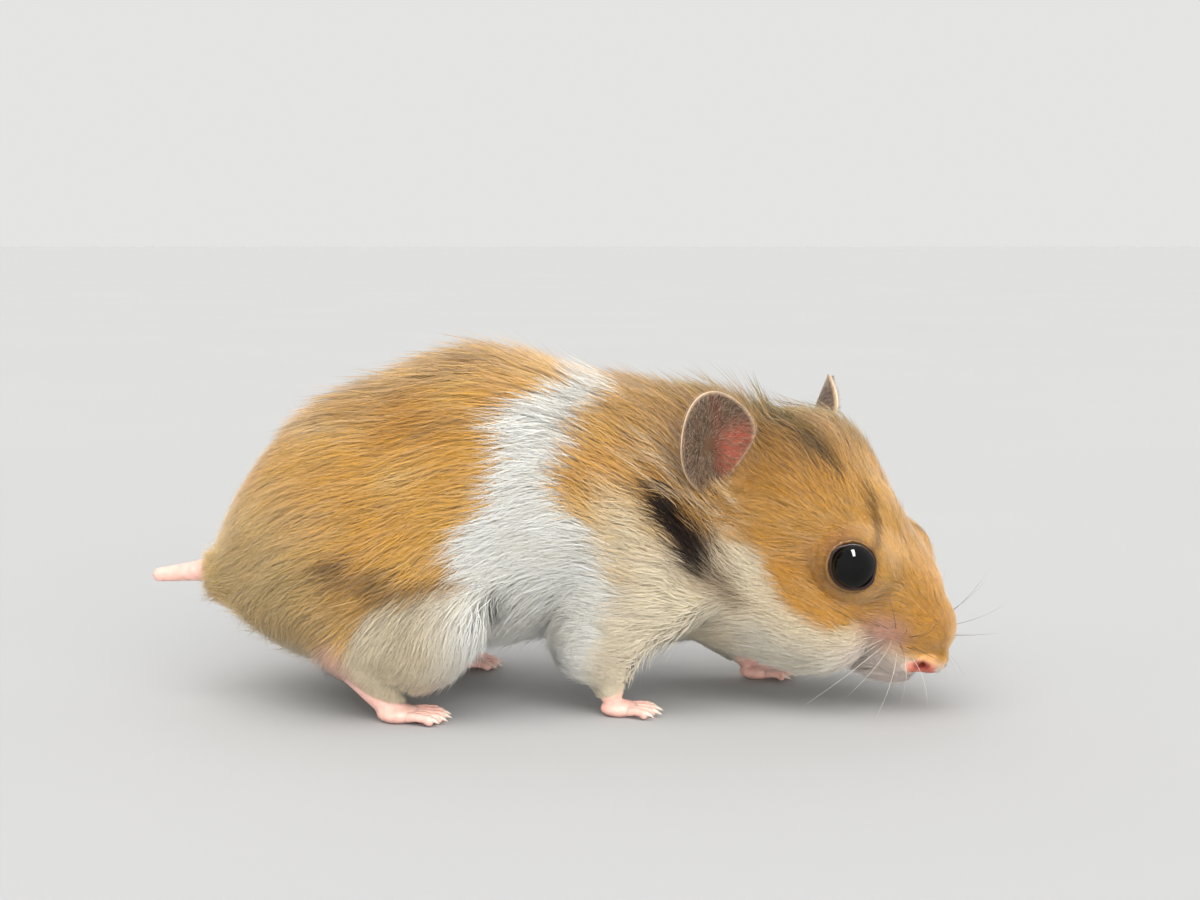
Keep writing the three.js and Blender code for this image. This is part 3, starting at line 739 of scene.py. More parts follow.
# For the head, in its own axes: how far back, and the height of each edge.
CHEEK_LOW = (
    [-33, -28, -25.5, -23.3, -20, -15.9, -12.6, -10.5, -9, -6, -3, 0],
    [6, 7, 6, 3.4, 1.3, -0.2, -0.3, 1.2, 0.8, -0.6, -1.4, -1.8],
)
FLASH = [
    (-43, 12.6), (-40.2, 10.8), (-37.8, 9), (-35.2, 6.6),
    (-32.8, 4.6), (-31, 3.2), (-28.2, 1.2), (-24.8, -1.2),
]
FLASH_HALF_WIDTH = ([-44, -40, -37, -33, -30, -27, -24], [0.3, 1.1, 1.6, 1.75, 1.4, 0.8, 0])
CREAM_BAND = [(-48, 8.5), (-43.4, 6), (-38.2, 2), (-33.5, -1.5), (-29.5, -4), (-22, -4.5)]
CROWN_STREAK = [(-39, 1.5), (-33, 5.4), (-29.7, 6.9), (-26.2, 7.6), (-23, 7.2)]
BROW_STROKE = [(-18, 3.3), (-15.5, 4.1), (-13.6, 5.1), (-11.8, 8.2), (-11.3, 9.4)]
FRONT_STROKE = [(-14.6, 0.8), (-10.6, 1.9), (-6.5, 3.2)]
WHISKER_PAD = ([-6.6, 7, 1.0], [3.4, 4.5, 2.8])  # middle and radii of the pink place beside the nose
# For the right flank, how far forward and how high.
# HAUNCH_SHADE: where a band of painted shade lies along each haunch
HAUNCH_SHADE = [(-31, 22), (-27, 21.2), (-23, 20), (-18.5, 18.8), (-14, 18)]
HEEL = [(-31, 9.5), (-28, 5)]
# CREASE: a line of painted shadow in a crease of the right flank
CREASE = [(-19, 40.5), (-12, 43), (-5.5, 44.6)]
PALE_STREAK = [(-35.8, 41.4), (-31, 41.2), (-28, 40.4)]
HEAD_STARTS = -37  # how far behind the snout the trunk's markings end
BARE_NOSE = ([-1.5, 0, -2.2], [2.8, 5.4, 2.0])  # middle and radii
BARE_TAIL = -50.5  # where the tail leaves the coat


# %% The markings of skin and coat


def head_share(points):
    """1 on the head, 0 on the trunk, with the change just behind the pouches and ears."""
    return soft_step(in_head(points)[:, 0] - HEAD_STARTS, 3)


def near_path(u, v, path, half_width, soft):
    """1 on a path seen flat, 0 away from it."""
    return soft_step(half_width - path_distance(u, v, path), soft)


def markings(points):
    """The colour of the coat at each place, and how many of its hairs have dark tips there. Each
    share is an ease over a few mm beside an edge; the numbers are places and widths in mm."""
    q = in_head(points)
    x, z = points[:, 0], points[:, 2]
    side = np.abs(points[:, 1])
    waver = soft_noise(points, 5, 11) * 0.9 + soft_noise(points, 2, 12) * 0.6
    patchy = soft_noise(points, 7, 13)
    streaky = soft_noise(points * [0.45, 1, 1.3], 1.5, 14)
    trunk = 1 - head_share(points)
    right = soft_step(-points[:, 1] - 6, 2)
    spine = soft_step(12 - side, 6) * soft_step(z - 36, 6)
    # painted shade: a band along each haunch, where its side turns down
    fold = near_path(x, z, HAUNCH_SHADE, 2.2 + 1.2 * waver, 2.0) * soft_step(side - 14, 3)
    heel = near_path(x, z, HEEL, 1.8, 1.2) * soft_step(side - 13, 2)
    band = soft_step(x - np.interp(z, *BAND_REAR) + waver, 1.1)
    band = band * soft_step(np.interp(z, *BAND_FRONT) - x + waver, 1.1)
    low = soft_step(np.interp(x, *UNDERSIDE) - z + waver, 1.4)
    between = near_path(q[:, 0], q[:, 2], CREAM_BAND, 3.0 + waver, 2.6) * soft_step(side - 8, 3)
    # painted shade: the underside behind the belly, which faces down, made greyer
    shaded = low * soft_step(-x - 10, 4) * soft_step(streaky + 0.1, 0.8)
    white = np.maximum(band, low * soft_step(x + 14, 5)) * trunk
    colours = layered(
        plain(GOLD, len(points)),
        (DEEP_GOLD, soft_step(patchy + 0.5 * streaky, 1.4)),
        (PALE_GOLD, 0.4 * soft_step(streaky - 0.5 * patchy - 0.4, 0.7)),
        (PALE_GOLD, 0.8 * soft_step(-x - 32 + waver, 8) * soft_step(30 - z, 8)),  # low on the rump
        (PALE_GOLD, 0.6 * trunk * soft_step(x - 4, 6) * soft_step(33 - z, 6)),  # shoulder
        (DEEP_GOLD * 0.85, 0.6 * soft_step(x - 10, 5) * soft_step(z - 34, 5)),  # nape
        (BROWN, 0.65 * spine * soft_step(patchy + streaky + 0.1, 1.0)),
        # the painted shade along the haunches, darkest in its middle
        (PAINTED_SHADE_BROWN, 0.75 * fold),
        (BROWN * 0.7, 0.8 * fold * soft_step(streaky + 0.1, 0.4)),
        (CREAM, 0.85 * between * soft_step(x - 8, 4) * (1 - fold)),
        (CREAM, low * trunk * soft_step(8 - x, 4)),
        # the painted shade of the rear underside
        (PAINTED_SHADE_BROWN, 0.35 * shaded * trunk),
        (WHITE, white),
        (PINK, 0.8 * heel),
        (GOLD, 0.75 * soft_step(z - 49 + 0.5 * waver, 1.2) * band),  # over the spine
        # painted shadow in the crease of the right flank
        (PAINTED_SHADE_BROWN, 0.6 * right * near_path(x, z, CREASE, 0.5, 0.9)),
        (CREAM, 0.6 * right * near_path(x, z, PALE_STREAK, 0.2, 0.5)),
    )
    # the band of painted shade on the haunches also gets more dark tips
    ticks = (0.1 + 0.35 * spine + 0.35 * fold) * (1 - white)
    return head_markings(points, q, colours, ticks, waver)


def head_markings(points, q, colours, ticks, waver):
    """The head's share of the markings, laid over the trunk's."""
    head = head_share(points)
    folded = one_side(q)
    x, side, z = folded.T
    fine = soft_noise(points * [1, 1, 2.5], 1.3, 15)
    outer = soft_step(side - 8, 3)
    below = soft_step(np.interp(x, *CHEEK_LOW) - z + 0.7 * waver, 1.2)
    lips = soft_step(x + 10, 3) * soft_step(-z - 1.5, 1.5)
    behind = soft_step(-x - 24.5, 1.5) * soft_step(5.5 - z, 2) * outer
    far = path_distance(x, z, FLASH)
    above = soft_step(3.4 - np.abs(far - 3.4), 1.5) * soft_step(z - 0.85 * (-28 - x), 2)
    above = above * soft_step(-x - 30, 3) * outer
    half_width = np.interp(x, *FLASH_HALF_WIDTH) + 0.3 * waver
    halo = soft_step(half_width + 0.9 - far + 0.8 * fine, 1.3) * outer
    core = soft_step(half_width - far, 0.55) * soft_step(x + 42, 1) * outer
    crown = near_path(x, side, CROWN_STREAK, 1.4 + 0.6 * waver, 1.0) * soft_step(z - 14, 3)
    stroke = near_path(x, side, BROW_STROKE, 0.6 + 0.2 * waver, 0.6) * soft_step(z - 12, 1.5)
    front = near_path(x, side, FRONT_STROKE, 0.2 + 0.3 * waver, 0.6) * soft_step(z - 6, 2)
    eye = length_of(folded - EYE_AT)
    behind_eye = soft_step(EYE_AT[0] - 1.5 - x, 2) * soft_step(z - EYE_AT[2], 2)
    pad = 1 - length_of((folded - WHISKER_PAD[0]) / WHISKER_PAD[1])
    nape = soft_step(x + 44, 3) * soft_step(-x - 22, 4) * soft_step(z - 17, 4)
    colours = layered(
        colours,
        (DEEP_GOLD, 0.45 * head * (1 - soft_step(z - 20, 4))),
        (CREAM, 0.9 * head * below),
        (WHITE, head * below * soft_step(-z - 3.5, 3) * 0.5),
        # white lips and chin, partly painted light standing in for light thrown up from below
        (LIP_WHITE, 0.8 * lips),
        (CREAM, 0.85 * head * behind),
        (CREAM, 0.7 * above * soft_step(fine - 0.1, 0.4)),
        (BROWN, 0.55 * above * soft_step(-fine - 0.35, 0.3)),
        (BROWN, 0.6 * halo * soft_step(x + 42, 2)),
        (DARK, core * (0.2 + 0.8 * soft_step(-x - 30.5, 2))),
        (DARK, 0.85 * crown * soft_step(fine + 0.5, 0.5)),
        (BROWN * 0.8, 0.9 * stroke),
        (BROWN, 0.45 * front),
        (EYE_CORNER, 0.5 * soft_step(5.6 - eye, 1.6) * behind_eye),
        (BROWN, 0.5 * soft_step(3.9 - eye, 0.3)),
        (PAD_PINK, 0.7 * soft_step(pad - 0.1, 0.6)),
        (BROWN, 0.4 * nape * soft_step(fine, 0.6)),
    )
    ticks = ticks + 0.4 * nape - ticks * head * below
    return np.clip(colours, 0, 1), np.clip(ticks + 0.5 * crown, 0, 1)


def bareness(points):
    """1 where there is no coat: nose, lips, feet and tail."""
    depth = -outline(points)
    x, y, z = points.T
    nose = 1 - length_of((in_head(points) - BARE_NOSE[0]) / BARE_NOSE[1])
    tail = soft_step(BARE_TAIL - x, 0.8) * soft_step(3.5 - np.abs(y), 1)
    thin = soft_step(0.55 - depth, 0.2) * soft_step(12 - z, 1) * soft_step(45 - x, 2)
    return np.maximum(np.maximum(soft_step(nose, 0.15), tail), thin)


# %% [markdown]
# ## Putting a shape into Blender
# Blender takes whole arrays at once, which is far quicker than adding one face at a time. The colour
# of each point goes with the mesh as an attribute, which the materials read.

# %% A mesh from arrays


def piece(name, points, triangles, material, slot, colours=None):
    """A smooth object at the origin with its place in its mesh, riding on the body."""
    mesh = bpy.data.meshes.new(name)
    mesh.vertices.add(len(points))
    mesh.vertices.foreach_set("co", (points * MM).astype(np.float32).ravel())
    mesh.loops.add(triangles.size)
    mesh.loops.foreach_set("vertex_index", triangles.astype(np.int32).ravel())
    mesh.polygons.add(len(triangles))
    mesh.polygons.foreach_set("loop_start", np.arange(0, triangles.size, 3, dtype=np.int32))
    mesh.polygons.foreach_set("use_smooth", np.ones(len(triangles), bool))
    mesh.update(calc_edges=True)
    if colours is not None:
        layer = mesh.color_attributes.new("marking", "FLOAT_COLOR", "POINT")
        rgba = np.concatenate([colours, np.ones((len(colours), 1))], 1)
        layer.data.foreach_set("color", rgba.astype(np.float32).ravel())
    mesh.materials.append(material)
    made = bpy.data.objects.new(name, mesh)
    bpy.context.scene.collection.objects.link(made)
    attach(made, "root")
    print(name, len(triangles), "triangles")
    return made


def outward(points, triangles):
    """Triangles turned so that the closed shape's volume is positive."""
    a, b, c = (points[triangles[:, i]] for i in range(3))
    volume = np.einsum("ij,ij->", a, np.cross(b, c))
    return triangles if volume > 0 else triangles[:, ::-1]


def together(parts):
    """Several shapes as one list of points and triangles."""
    starts = np.cumsum([0] + [len(points) for points, _ in parts[:-1]])
    points = np.concatenate([points for points, _ in parts])
    return points, np.concatenate([outward(p, t) + start for (p, t), start in zip(parts, starts)])


# %% [markdown]
# ## Materials
# Three kinds of surface matter: thin living skin, matt hair with a soft sheen along it, and the wet
# black eye. The first two take their colour from the markings, broken up by fine noise, because real
# hairs differ from their neighbours.

# %% Nodes shared by the materials


def finish(name, levels):
    """A material whose one main shader has these levels on its own sockets, with a short way to add
    linked nodes and one to feed the shader."""
    material = bpy.data.materials.new(name)
    material.use_nodes = True
    nodes, links = material.node_tree.nodes, material.node_tree.links
    shader = nodes["Principled BSDF"]
    for socket, level in levels.items():
        shader.inputs[socket].default_value = level

    def add(kind, inputs=None, **settings):
        node = nodes.new(kind)
        for key, value in settings.items():
            setattr(node, key, value)
        for key, value in (inputs or {}).items():
            if isinstance(value, bpy.types.NodeSocket):
                links.new(value, node.inputs[key])
            else:
                node.inputs[key].default_value = value
        return node

    def feed(socket, output):
        links.new(output, shader.inputs[socket])

    return material, add, feed


def cloudy(add, scale, detail, low, high, noise_from=0.0, noise_to=1.0):
    """A grey that drifts from `low` to `high` with soft noise, `scale` waves to the metre."""
    place = add("ShaderNodeTexCoord").outputs["Object"]
    noise = add("ShaderNodeTexNoise", {"Vector": place, "Scale": scale, "Detail": detail})
    span = {"From Min": noise_from, "From Max": noise_to, "To Min": low, "To Max": high}
    level = add("ShaderNodeMapRange", {"Value": noise.outputs["Fac"], **span}).outputs[0]
    return add("ShaderNodeCombineColor", dict.fromkeys(("Red", "Green", "Blue"), level)).outputs[0]


def marking_colour(add, scale, low, high):
    """The marking at each point, made lighter and darker by fine noise between two shares."""
    marking = add("ShaderNodeAttribute", attribute_name="marking").outputs["Color"]
    share = cloudy(add, scale, 3.0, low, high, 0.3, 0.7)
    inputs = {"Factor": 1.0, "A": marking, "B": share}
    return add("ShaderNodeMix", inputs, data_type="RGBA", blend_type="MULTIPLY").outputs[2]


def marked(name, levels, scale, low, high):
    """A finish whose colour is the marking, made lighter and darker by fine noise of this scale."""
    material, add, feed = finish(name, levels)
    feed("Base Color", marking_colour(add, scale, low, high))
    return material, add, feed


# %% Skin, coat, horn, whisker and eye
SKIN = {
    "Roughness": 0.48,
    "Subsurface Weight": 0.25,
    "Subsurface Radius": (0.0012, 0.0005, 0.0003),
    "Subsurface Scale": 1.0,
}
COAT = {
    "Roughness": 0.7,
    "Specular IOR Level": 0.15,
    "Sheen Weight": 0.1,
    "Sheen Roughness": 0.45,
    "Subsurface Weight": 0.35,
    "Subsurface Radius": (0.001, 0.001, 0.001),
    "Subsurface Scale": 1.0,
}
skin_finish, add, feed = marked("thin skin", SKIN, 900.0, 0.86, 1.1)
place = add("ShaderNodeTexCoord").outputs["Object"]
creases = add("ShaderNodeTexVoronoi", {"Vector": place, "Scale": 2600.0}, feature="F1")
relief = {"Height": creases.outputs["Distance"], "Strength": 0.35, "Distance": 0.0001}
feed("Normal", add("ShaderNodeBump", relief).outputs[0])
coat_finish, *_ = marked("coat of hair", COAT, 1400.0, 0.94, 1.1)
claw_finish, *_ = marked("claw horn", {"Roughness": 0.3}, 2000.0, 0.8, 1.1)
whisker_finish, *_ = marked("whisker", {"Roughness": 0.4}, 700.0, 0.8, 1.1)
eye_finish, add, feed = finish("wet black eye", {"Roughness": 0.04, "Specular IOR Level": 0.2})
feed("Base Color", cloudy(add, 350.0, 4.0, 0.001, 0.004))

# %% The one skin
skin_colours, _ = markings(body_points)
q = in_head(body_points)
mirrored = one_side(q)
on_nose = soft_step(q[:, 0] + 5, 1)
blotch = soft_step(soft_noise(body_points, 1.1, 32), 1.0) * on_nose
bare_colour = layered(plain(PINK, len(q)), (NOSE_PINK, on_nose), (NOSE_BLOTCH, 0.6 * blotch))
from_eye = length_of(mirrored - EYE_AT)
from_hole = length_of(mirrored - EAR_HOLE_AT)
in_nostril = soft_step(1 - length_of((mirrored - NOSTRIL_AT) / [1.5, 1.3, 0.8]), 0.3)
skin_colours = layered(
    skin_colours,
    (UNDERFUR, 0.3 * soft_step(0.6 - skin_colours.mean(1), 0.2)),
    (bare_colour, bareness(body_points)),
    (LID_DARK, soft_step(LID_REACH - from_eye, 0.1)),
    # painted shade: deep red-dark inside each nostril
    (HOLLOW_SHADE_RED, 0.8 * in_nostril),
    (EAR_PINK, soft_step(3.6 - from_hole, 1)),
    # painted shade: deep red-dark in the middle of each ear hole
    (HOLLOW_SHADE_RED, soft_step(2.0 - from_hole, 0.8)),
)

ear_colours = {}
for name, (points, _) in ear_parts.items():
    base, tip, opens, front = EARS[name]
    leaf = (in_head(points) - base) @ ear_axes(base, tip, opens)
    across, high = leaf[:, 1] * front, leaf[:, 2]
    inside = soft_step(leaf[:, 0] - ear_bow(leaf[:, 1], high, front), 0.1)
    mottled = soft_noise(points, 1.2, 31)
    # the pink of the ear's hollow: pink skin, laid on strongly as a painted glow of light shining through
    # the thin leaf
    shell = soft_step(1 - np.hypot((across - 4.6) / 3.4, (high - 4.0) / 6.5), 0.4) * inside
    from_crease = np.abs(across - EAR_CREASE * EAR_HALF_WIDTH)
    ear_colours[name] = layered(
        plain(EAR_GREY, len(points)),
        (EAR_GREY * 0.45, soft_step(mottled - 0.1, 0.9)),
        # pink skin with a painted glow of light through the leaf
        (EAR_PINK, 0.9 * shell),
        # painted shade: a deep red-dark line along the crease inside the leaf, under its turned front
        # edge
        (HOLLOW_SHADE_RED, 0.5 * inside * soft_step(0.7 - from_crease, 0.7)),
        (EAR_RIM, 0.75 * soft_step(ear_reach(leaf) - 0.955, 0.03)),
    )

parts = [(body_points, body_triangles), (toe_points, toe_triangles)]
parts += [*ear_parts.values(), *lid_parts]
colours = [skin_colours, plain(PINK, len(toe_points)), *ear_colours.values()]
colours += [plain(LID_DARK, len(points)) for points, _ in lid_parts]
skin_piece = piece("skin", *together(parts), skin_finish, "bare_skin", np.concatenate(colours))
FLESH = [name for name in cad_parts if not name.startswith("eye_")]
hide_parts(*FLESH)

# %% [markdown]
# ## Eyes
# A hamster's eye is almost a full ball, black all over and always wet. The solid in the frame is
# right in size and place but has few faces, so a fine ball with a slightly raised window takes its
# place: a grid of two angles, closed at both poles.

# %% Balls of the eyes
BALL_ROWS, BALL_AROUND = 47, 64
WINDOW = 0.7  # radians from the way the eye looks


def ball(side):
    """Points at radius R (1 + w) from the eye's middle, where w swells the window by a few
    hundredths round the way the eye looks."""
    fall = np.linspace(0, np.pi, BALL_ROWS + 2)[:, None]
    turn = np.linspace(0, 2 * np.pi, BALL_AROUND, endpoint=False)[None]
    swell = EYE_RADIUS * (0.99 + 0.02 * np.exp(-((fall / WINDOW) ** 2)))
    off_axis = swell * np.sin(fall)
    local = [swell * np.cos(fall) + 0 * turn, off_axis * np.cos(turn), off_axis * np.sin(turn)]
    local = np.stack(local, -1)
    local = np.concatenate([local[0, :1], local[1:-1].reshape(-1, 3), local[-1, :1]])
    points = from_head(EYE_AT * side + local @ axes_along(EYE_OUT * side, UP).T)
    return points, outward(points - points.mean(0), ring_faces(BALL_ROWS, BALL_AROUND))


for name, side in zip(("right", "left"), BOTH_SIDES):
    eye = piece(f"eyeball_{name}", *ball(side), eye_finish, "eye")
    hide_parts(f"eye_{name}")

# %% [markdown]
# ## The lie of the coat
# Hair has a direction everywhere: away from the nose over the head, back along the body, down the
# legs and round the rump. The direction is one function too. Small wavering turns let neighbours
# lean together, so the coat falls into soft locks instead of lying like brushed cloth.

# %% Which way the hair lies


def lie_of_coat(points, normals):
    """The way of the hair at each place: a mean way for trunk, head and legs, blended, parted round
    the eyes and ears, then laid flat on the surface."""
    q = in_head(points)
    head = soft_step(q[:, 0:1] + 44, 9)
    side = np.sign(points[:, 1:2])
    spread = np.clip(np.abs(points[:, 1:2]) / 20, 0, 1)
    behind = soft_step(-points[:, 0:1] - 2, 12)
    fore = soft_step(points[:, 0:1] - 6, 8)
    lift = 0.34 * fore * soft_step(points[:, 2:3] - 20, 6)
    trunk_way = np.concatenate([-1 + 0 * side, 0.1 * side, lift - (0.1 + 0.3 * spread) * behind], 1)
    head_way = unit(q - np.array([1.5, 0, -1.0])) * [0.8, 1.0, 0.6] + np.array([-0.9, 0, -0.05])
    way = unit(trunk_way) * (1 - head) + unit(head_way) @ HEAD_AXES.T * head
    low = soft_step(17 - points[:, 2:3], 5) * soft_step(np.abs(points[:, 1:2]) - 9, 3) * (1 - head)
    way = way * (1 - low) + np.array([-0.45, 0, -0.9]) * low
    for middle, radius, push in ((EYE_AT, 3.5, 0.7), (EAR_HOLE_AT, 3.0, 0.9)):
        from_it = one_side(q) - middle
        away = unit(from_it) * np.where(q[:, 1:2] < 0, OTHER_SIDE, 1)
        near = np.exp(-np.maximum(length_of(from_it) - radius, 0) / 1.6)[:, None]
        way = way + push * near * (away @ HEAD_AXES.T)
    way = way - np.einsum("ij,ij->i", way, normals)[:, None] * normals
    return unit(way)


# %% [markdown]
# ## Tufts
# Real fur has a million hairs. A tuft stands for a few that cling together: a thin spindle with a
# root, one ring of three points and a tip, six triangles in all, so there can be very many. Each is
# walked from its root along the lie of the coat in two steps, and after each step it is set to its
# proper height over the skin, so tufts follow the body and end where the solid's surface is.

# %% Roots spread over the skin
WIDEST = 0.4  # how far along a tuft is widest
LEAST_COAT = 0.3  # less depth than this stays bare
MOST_COAT = 6
NAPE_AT, NAPE_REACH = [-34, 5, 23.5], 6.5
CHIN_AT, CHIN_REACH = [-5.5, 4, -4.5], 3.5
COAT_RELIEF = (  # middle, with both sides folded together, reach and height
    ([21.5, 16.5, 15.5], 4.5, 0.8),  # behind the pouch
    ([-42, 4, 37.5], 11, -2.2),  # rump
    ([-27, 2, 46], 7, 1.0),  # back
    ([-5, 2, 50], 12, 1.1),  # shoulders
)


SHORTEST = 0.35


def trim(points):
    """How much shorter the hair is beside the eyes and ear holes, on the lower legs and at the
    root of the tail: from SHORTEST to 1 elsewhere."""
    q = one_side(in_head(points))
    beside = np.minimum(length_of(q - EYE_AT) - 2.2, (length_of(q - EAR_HOLE_AT) - 1.5) * 0.8) / 4
    leg = 0.55 + 0.45 * np.maximum(soft_step(points[:, 2] - 13, 5), head_share(points))
    tail = 0.5 + 0.5 * soft_step(points[:, 0] + 46, 2)
    return np.clip(np.minimum(np.minimum(beside, leg), tail), SHORTEST, 1)


def coat_depth(points):
    """How deep the coat is over places of the skin, in mm: as far as the solid's surface, a little
    more on the nape, where the hair stands, and never bare beside an eye, on the snout or chin."""
    q = one_side(in_head(points))
    depth = body(points, 1) - bare_body(points) - outline(points)
    depth = depth + 2.8 * hump(q, NAPE_AT, NAPE_REACH) + 0.8 * hump(q, CHIN_AT, CHIN_REACH)
    folded = points * [1, 0, 1] + np.abs(points) * [0, 1, 0]
    for middle, reach, more in COAT_RELIEF:
        depth = depth + more * hump(folded, middle, reach)
    beside_eye = np.exp(-(((length_of(q - EYE_AT) - 3.6) / 2.0) ** 2))
    on_snout = hump(q, [0.3, 0, -0.2], 3.5)
    on_chin = 1.3 * hump(q, [-6.2, 4.6, -5.2], 4.0, 4)
    least = 0.55 * np.maximum(np.maximum(beside_eye, on_snout), on_chin)
    return np.clip(np.maximum(depth, least), 0, MOST_COAT)


TUFT_BASE, TUFT_BY_DEPTH = 0.5, 2.0
WIDTH_BASE, WIDTH_BY_LENGTH = 0.042, 0.0105


def tuft_length(depth):
    """How long the tufts are where the coat has this depth."""
    return TUFT_BASE + TUFT_BY_DEPTH * depth


def tuft_width(length):
    """How wide a tuft of this length is at its widest."""
    return WIDTH_BASE + WIDTH_BY_LENGTH * length


def spread_roots(triangles, weights, count, draw):
    """Points on the skin, `count` of them, spread by weight: even steps through the running sum of
    the weights, each with a random place in its triangle."""
    total = np.cumsum(weights)
    at = np.searchsorted(total, (np.arange(count) + draw.random(count)) / count * total[-1])
    at = np.minimum(at, len(weights) - 1)
    u, v = draw.random((2, count))
    over = u + v > 1
    u, v = np.where(over, 1 - u, u), np.where(over, 1 - v, v)
    a, b, c = (body_points[triangles[at, i]] for i in range(3))
    return a + u[:, None] * (b - a) + v[:, None] * (c - a)


ROOT_SUNK = 0.2


def walked(roots, normals, length, height, sideways):
    """Each tuft's three stations: its root just under the skin, its widest place and its tip. The
    height over the skin rises as sin(pi s / 2) along the tuft."""
    stations = [roots - ROOT_SUNK * normals]
    place, up, last = roots, normals, 0.0
    for share in (WIDEST, 1.0):
        way = lie_of_coat(place, up)
        way = unit(way + sideways[:, None] * np.cross(up, way))
        place = place + way * (length * (share - last))[:, None]
        here, rise = slope(bare_body, place)
        up = unit(rise)
        place = place + up * (height * np.sin(np.pi / 2 * share) - here)[:, None]
        stations.append(place)
        last = share
    return np.stack(stations, 1), up


# %% [markdown]
# ## An unwrap of the coat
# When the coat's colours are baked, each tuft needs a small patch of its own on a flat map. The map
# is an unwrap of the body itself: how far along the body the root is, and how far round it. Every
# tuft is laid out as a strip 0.003 wide and long at its root's place.

# %% Patches on the map
PATCH = 0.003
STRIP = np.array([[0.5, 0], [0, 0.45], [0.5, 0.45], [1, 0.45], [0.5, 1]]) - 0.5


def unwrapped(roots, middle_height):
    """Along and round: x, and the angle about a line through the body at `middle_height`."""
    angle = np.arctan2(roots[:, 2] - middle_height, np.abs(roots[:, 1]) + 0.01)
    along_round = np.stack([roots[:, 0], angle], 1)
    low, high = along_round.min(0), along_round.max(0)
    return 0.01 + 0.98 * (along_round - low) / (high - low)


def add_map(made, at_root):
    """Writes the map named OFBake, one strip for each tuft."""
    layout = (at_root[:, None] * (1 - PATCH * 2) + PATCH + PATCH * STRIP).reshape(-1, 2)
    corners = np.empty(len(made.data.loops), np.int32)
    made.data.loops.foreach_get("vertex_index", corners)
    layer = made.data.uv_layers.new(name="OFBake")
    layer.data.foreach_set("uv", layout[corners].astype(np.float32).ravel())


# %% One piece of coat
TUFT_AROUND, TUFT_POINTS = 3, 5
LENGTHS, WIDTHS = (0.7, 1.2), (0.75, 1.25)  # of the usual length and width
LAYERS = (2.4, 1.2)  # most tufts lie in the upper part of the coat
GUARD_NAPE, GUARD_REACH = [-35, 5, 23.5], 8  # where the guard hairs stand highest
SOFT_UP, SOFT_ROUND = 0.84, 0.16  # a tuft's shading follows the body more than its own round
ROOT_MIDDLE = 24.0  # the height of the line the map is wound round

def tuft_piece(name, roots, normals, depth, draw, slot):
    """Tufts on these roots as one object, with their colours, soft normals and map."""
    count = len(roots)
    q = one_side(in_head(roots))
    trimmed = trim(roots)
    length = tuft_length(depth) * draw.uniform(*LENGTHS, count) * trimmed
    layer = draw.beta(*LAYERS, count)
    lift = 1 + 0.16 * soft_noise(roots, 2.6, 21)
    height = depth * (0.2 + 0.78 * layer) * lift * np.sqrt(trimmed)
    _, ticks = markings(roots)
    nape = hump(q, GUARD_NAPE, GUARD_REACH)
    guard = draw.random(count) < 0.04 + 0.1 * ticks
    height = np.where(guard, height + 0.3 * depth + 1.8 * nape, height)
    lean = 0.22 * soft_noise(roots, 3.0, 22) + 0.16 * soft_noise(roots, 1.1, 23)
    lean = lean + 0.2 * soft_noise(roots, 8, 24) + 0.16 * draw.normal(size=count)
    stations, up = walked(roots, normals, length, height, lean)
    width = tuft_width(length) * draw.uniform(*WIDTHS, count)
    radii = width[:, None] / 2 * np.ones(stations.shape[1])
    points, triangles = tubes(stations, radii, up[:, None], TUFT_AROUND, 0.7)
    seen = stations[:, 1] * 0.6 + stations[:, 2] * 0.4
    made = piece(name, points, triangles, coat_finish, slot, tuft_colours(seen, ticks, draw))
    ring = points.reshape(count, TUFT_POINTS, 3)[:, 1:-1] - stations[:, 1:2]
    soft = unit(SOFT_UP * up[:, None] + SOFT_ROUND * unit(ring))
    soft = np.concatenate([up[:, None], soft, up[:, None]], 1).reshape(-1, 3)
    made.data.normals_split_custom_set_from_vertices(soft)
    add_map(made, unwrapped(roots, ROOT_MIDDLE))


def tuft_colours(seen, ticks, draw):
    """Five colours for each tuft. The marking is read half way along, where the tuft shows. Roots
    are greyer, one edge is darker than the other, and some tips are dark."""
    count = len(seen)
    blur = 0.5 - 0.25 * head_share(seen)
    base, _ = markings(seen + draw.normal(size=(count, 3)) * blur[:, None])
    lock = 1 + 0.08 * soft_noise(seen, 1.4, 25) + 0.08 * soft_noise(seen, 4, 26)
    base = base * (lock * draw.uniform(0.88, 1.08, count))[:, None]
    grey = base.mean(1, keepdims=True)
    base = base + (grey - base) * draw.uniform(-0.1, 0.16, (count, 1))
    pale = soft_step(grey[:, 0] - 0.55, 0.2)
    root = painted(base * 0.82, UNDERFUR * 0.9, 0.3 * (1 - pale))
    dark = (draw.random(count) < ticks) * draw.uniform(0.3, 0.9, count)
    tip = painted(base * 1.1, DARK, dark)
    middle = painted(base, DARK, 0.3 * dark)
    rows = [root, middle * 0.94, middle * 1.04, middle * 0.98, tip]
    return np.clip(np.stack(rows, 1).reshape(-1, 3), 0, 1)


# %% Where the coat is drawn, and in which pieces
a, b, c = (body_points[body_triangles[:, i]] for i in range(3))
face_middle = np.stack([a, b, c], 1).mean(1)
face_area = length_of(np.cross(b - a, c - a)) / 2
face_depth = coat_depth(face_middle)
q = in_head(face_middle)
mirrored = one_side(q)
MOST_BARE = 0.6
OFF_THE_FLOOR = 1.2
EYE_CLEAR, HOLE_CLEAR = 3.5, 2.5  # how far from the middle of an eye and an ear hole roots start
open_skin = (
    (bareness(face_middle) < MOST_BARE)
    & (face_depth > LEAST_COAT)
    & (face_middle[:, 2] > OFF_THE_FLOOR)
    & (length_of(mirrored - EYE_AT) > EYE_CLEAR)
    & (length_of(mirrored - EAR_HOLE_AT) > HOLE_CLEAR)
)
COVER = 8.4  # how many tufts deep the coat is
face_length = tuft_length(face_depth) * trim(face_middle)
face_weight = face_area * open_skin * COVER / (face_length * tuft_width(face_length))
print("tufts wanted", int(face_weight.sum()))

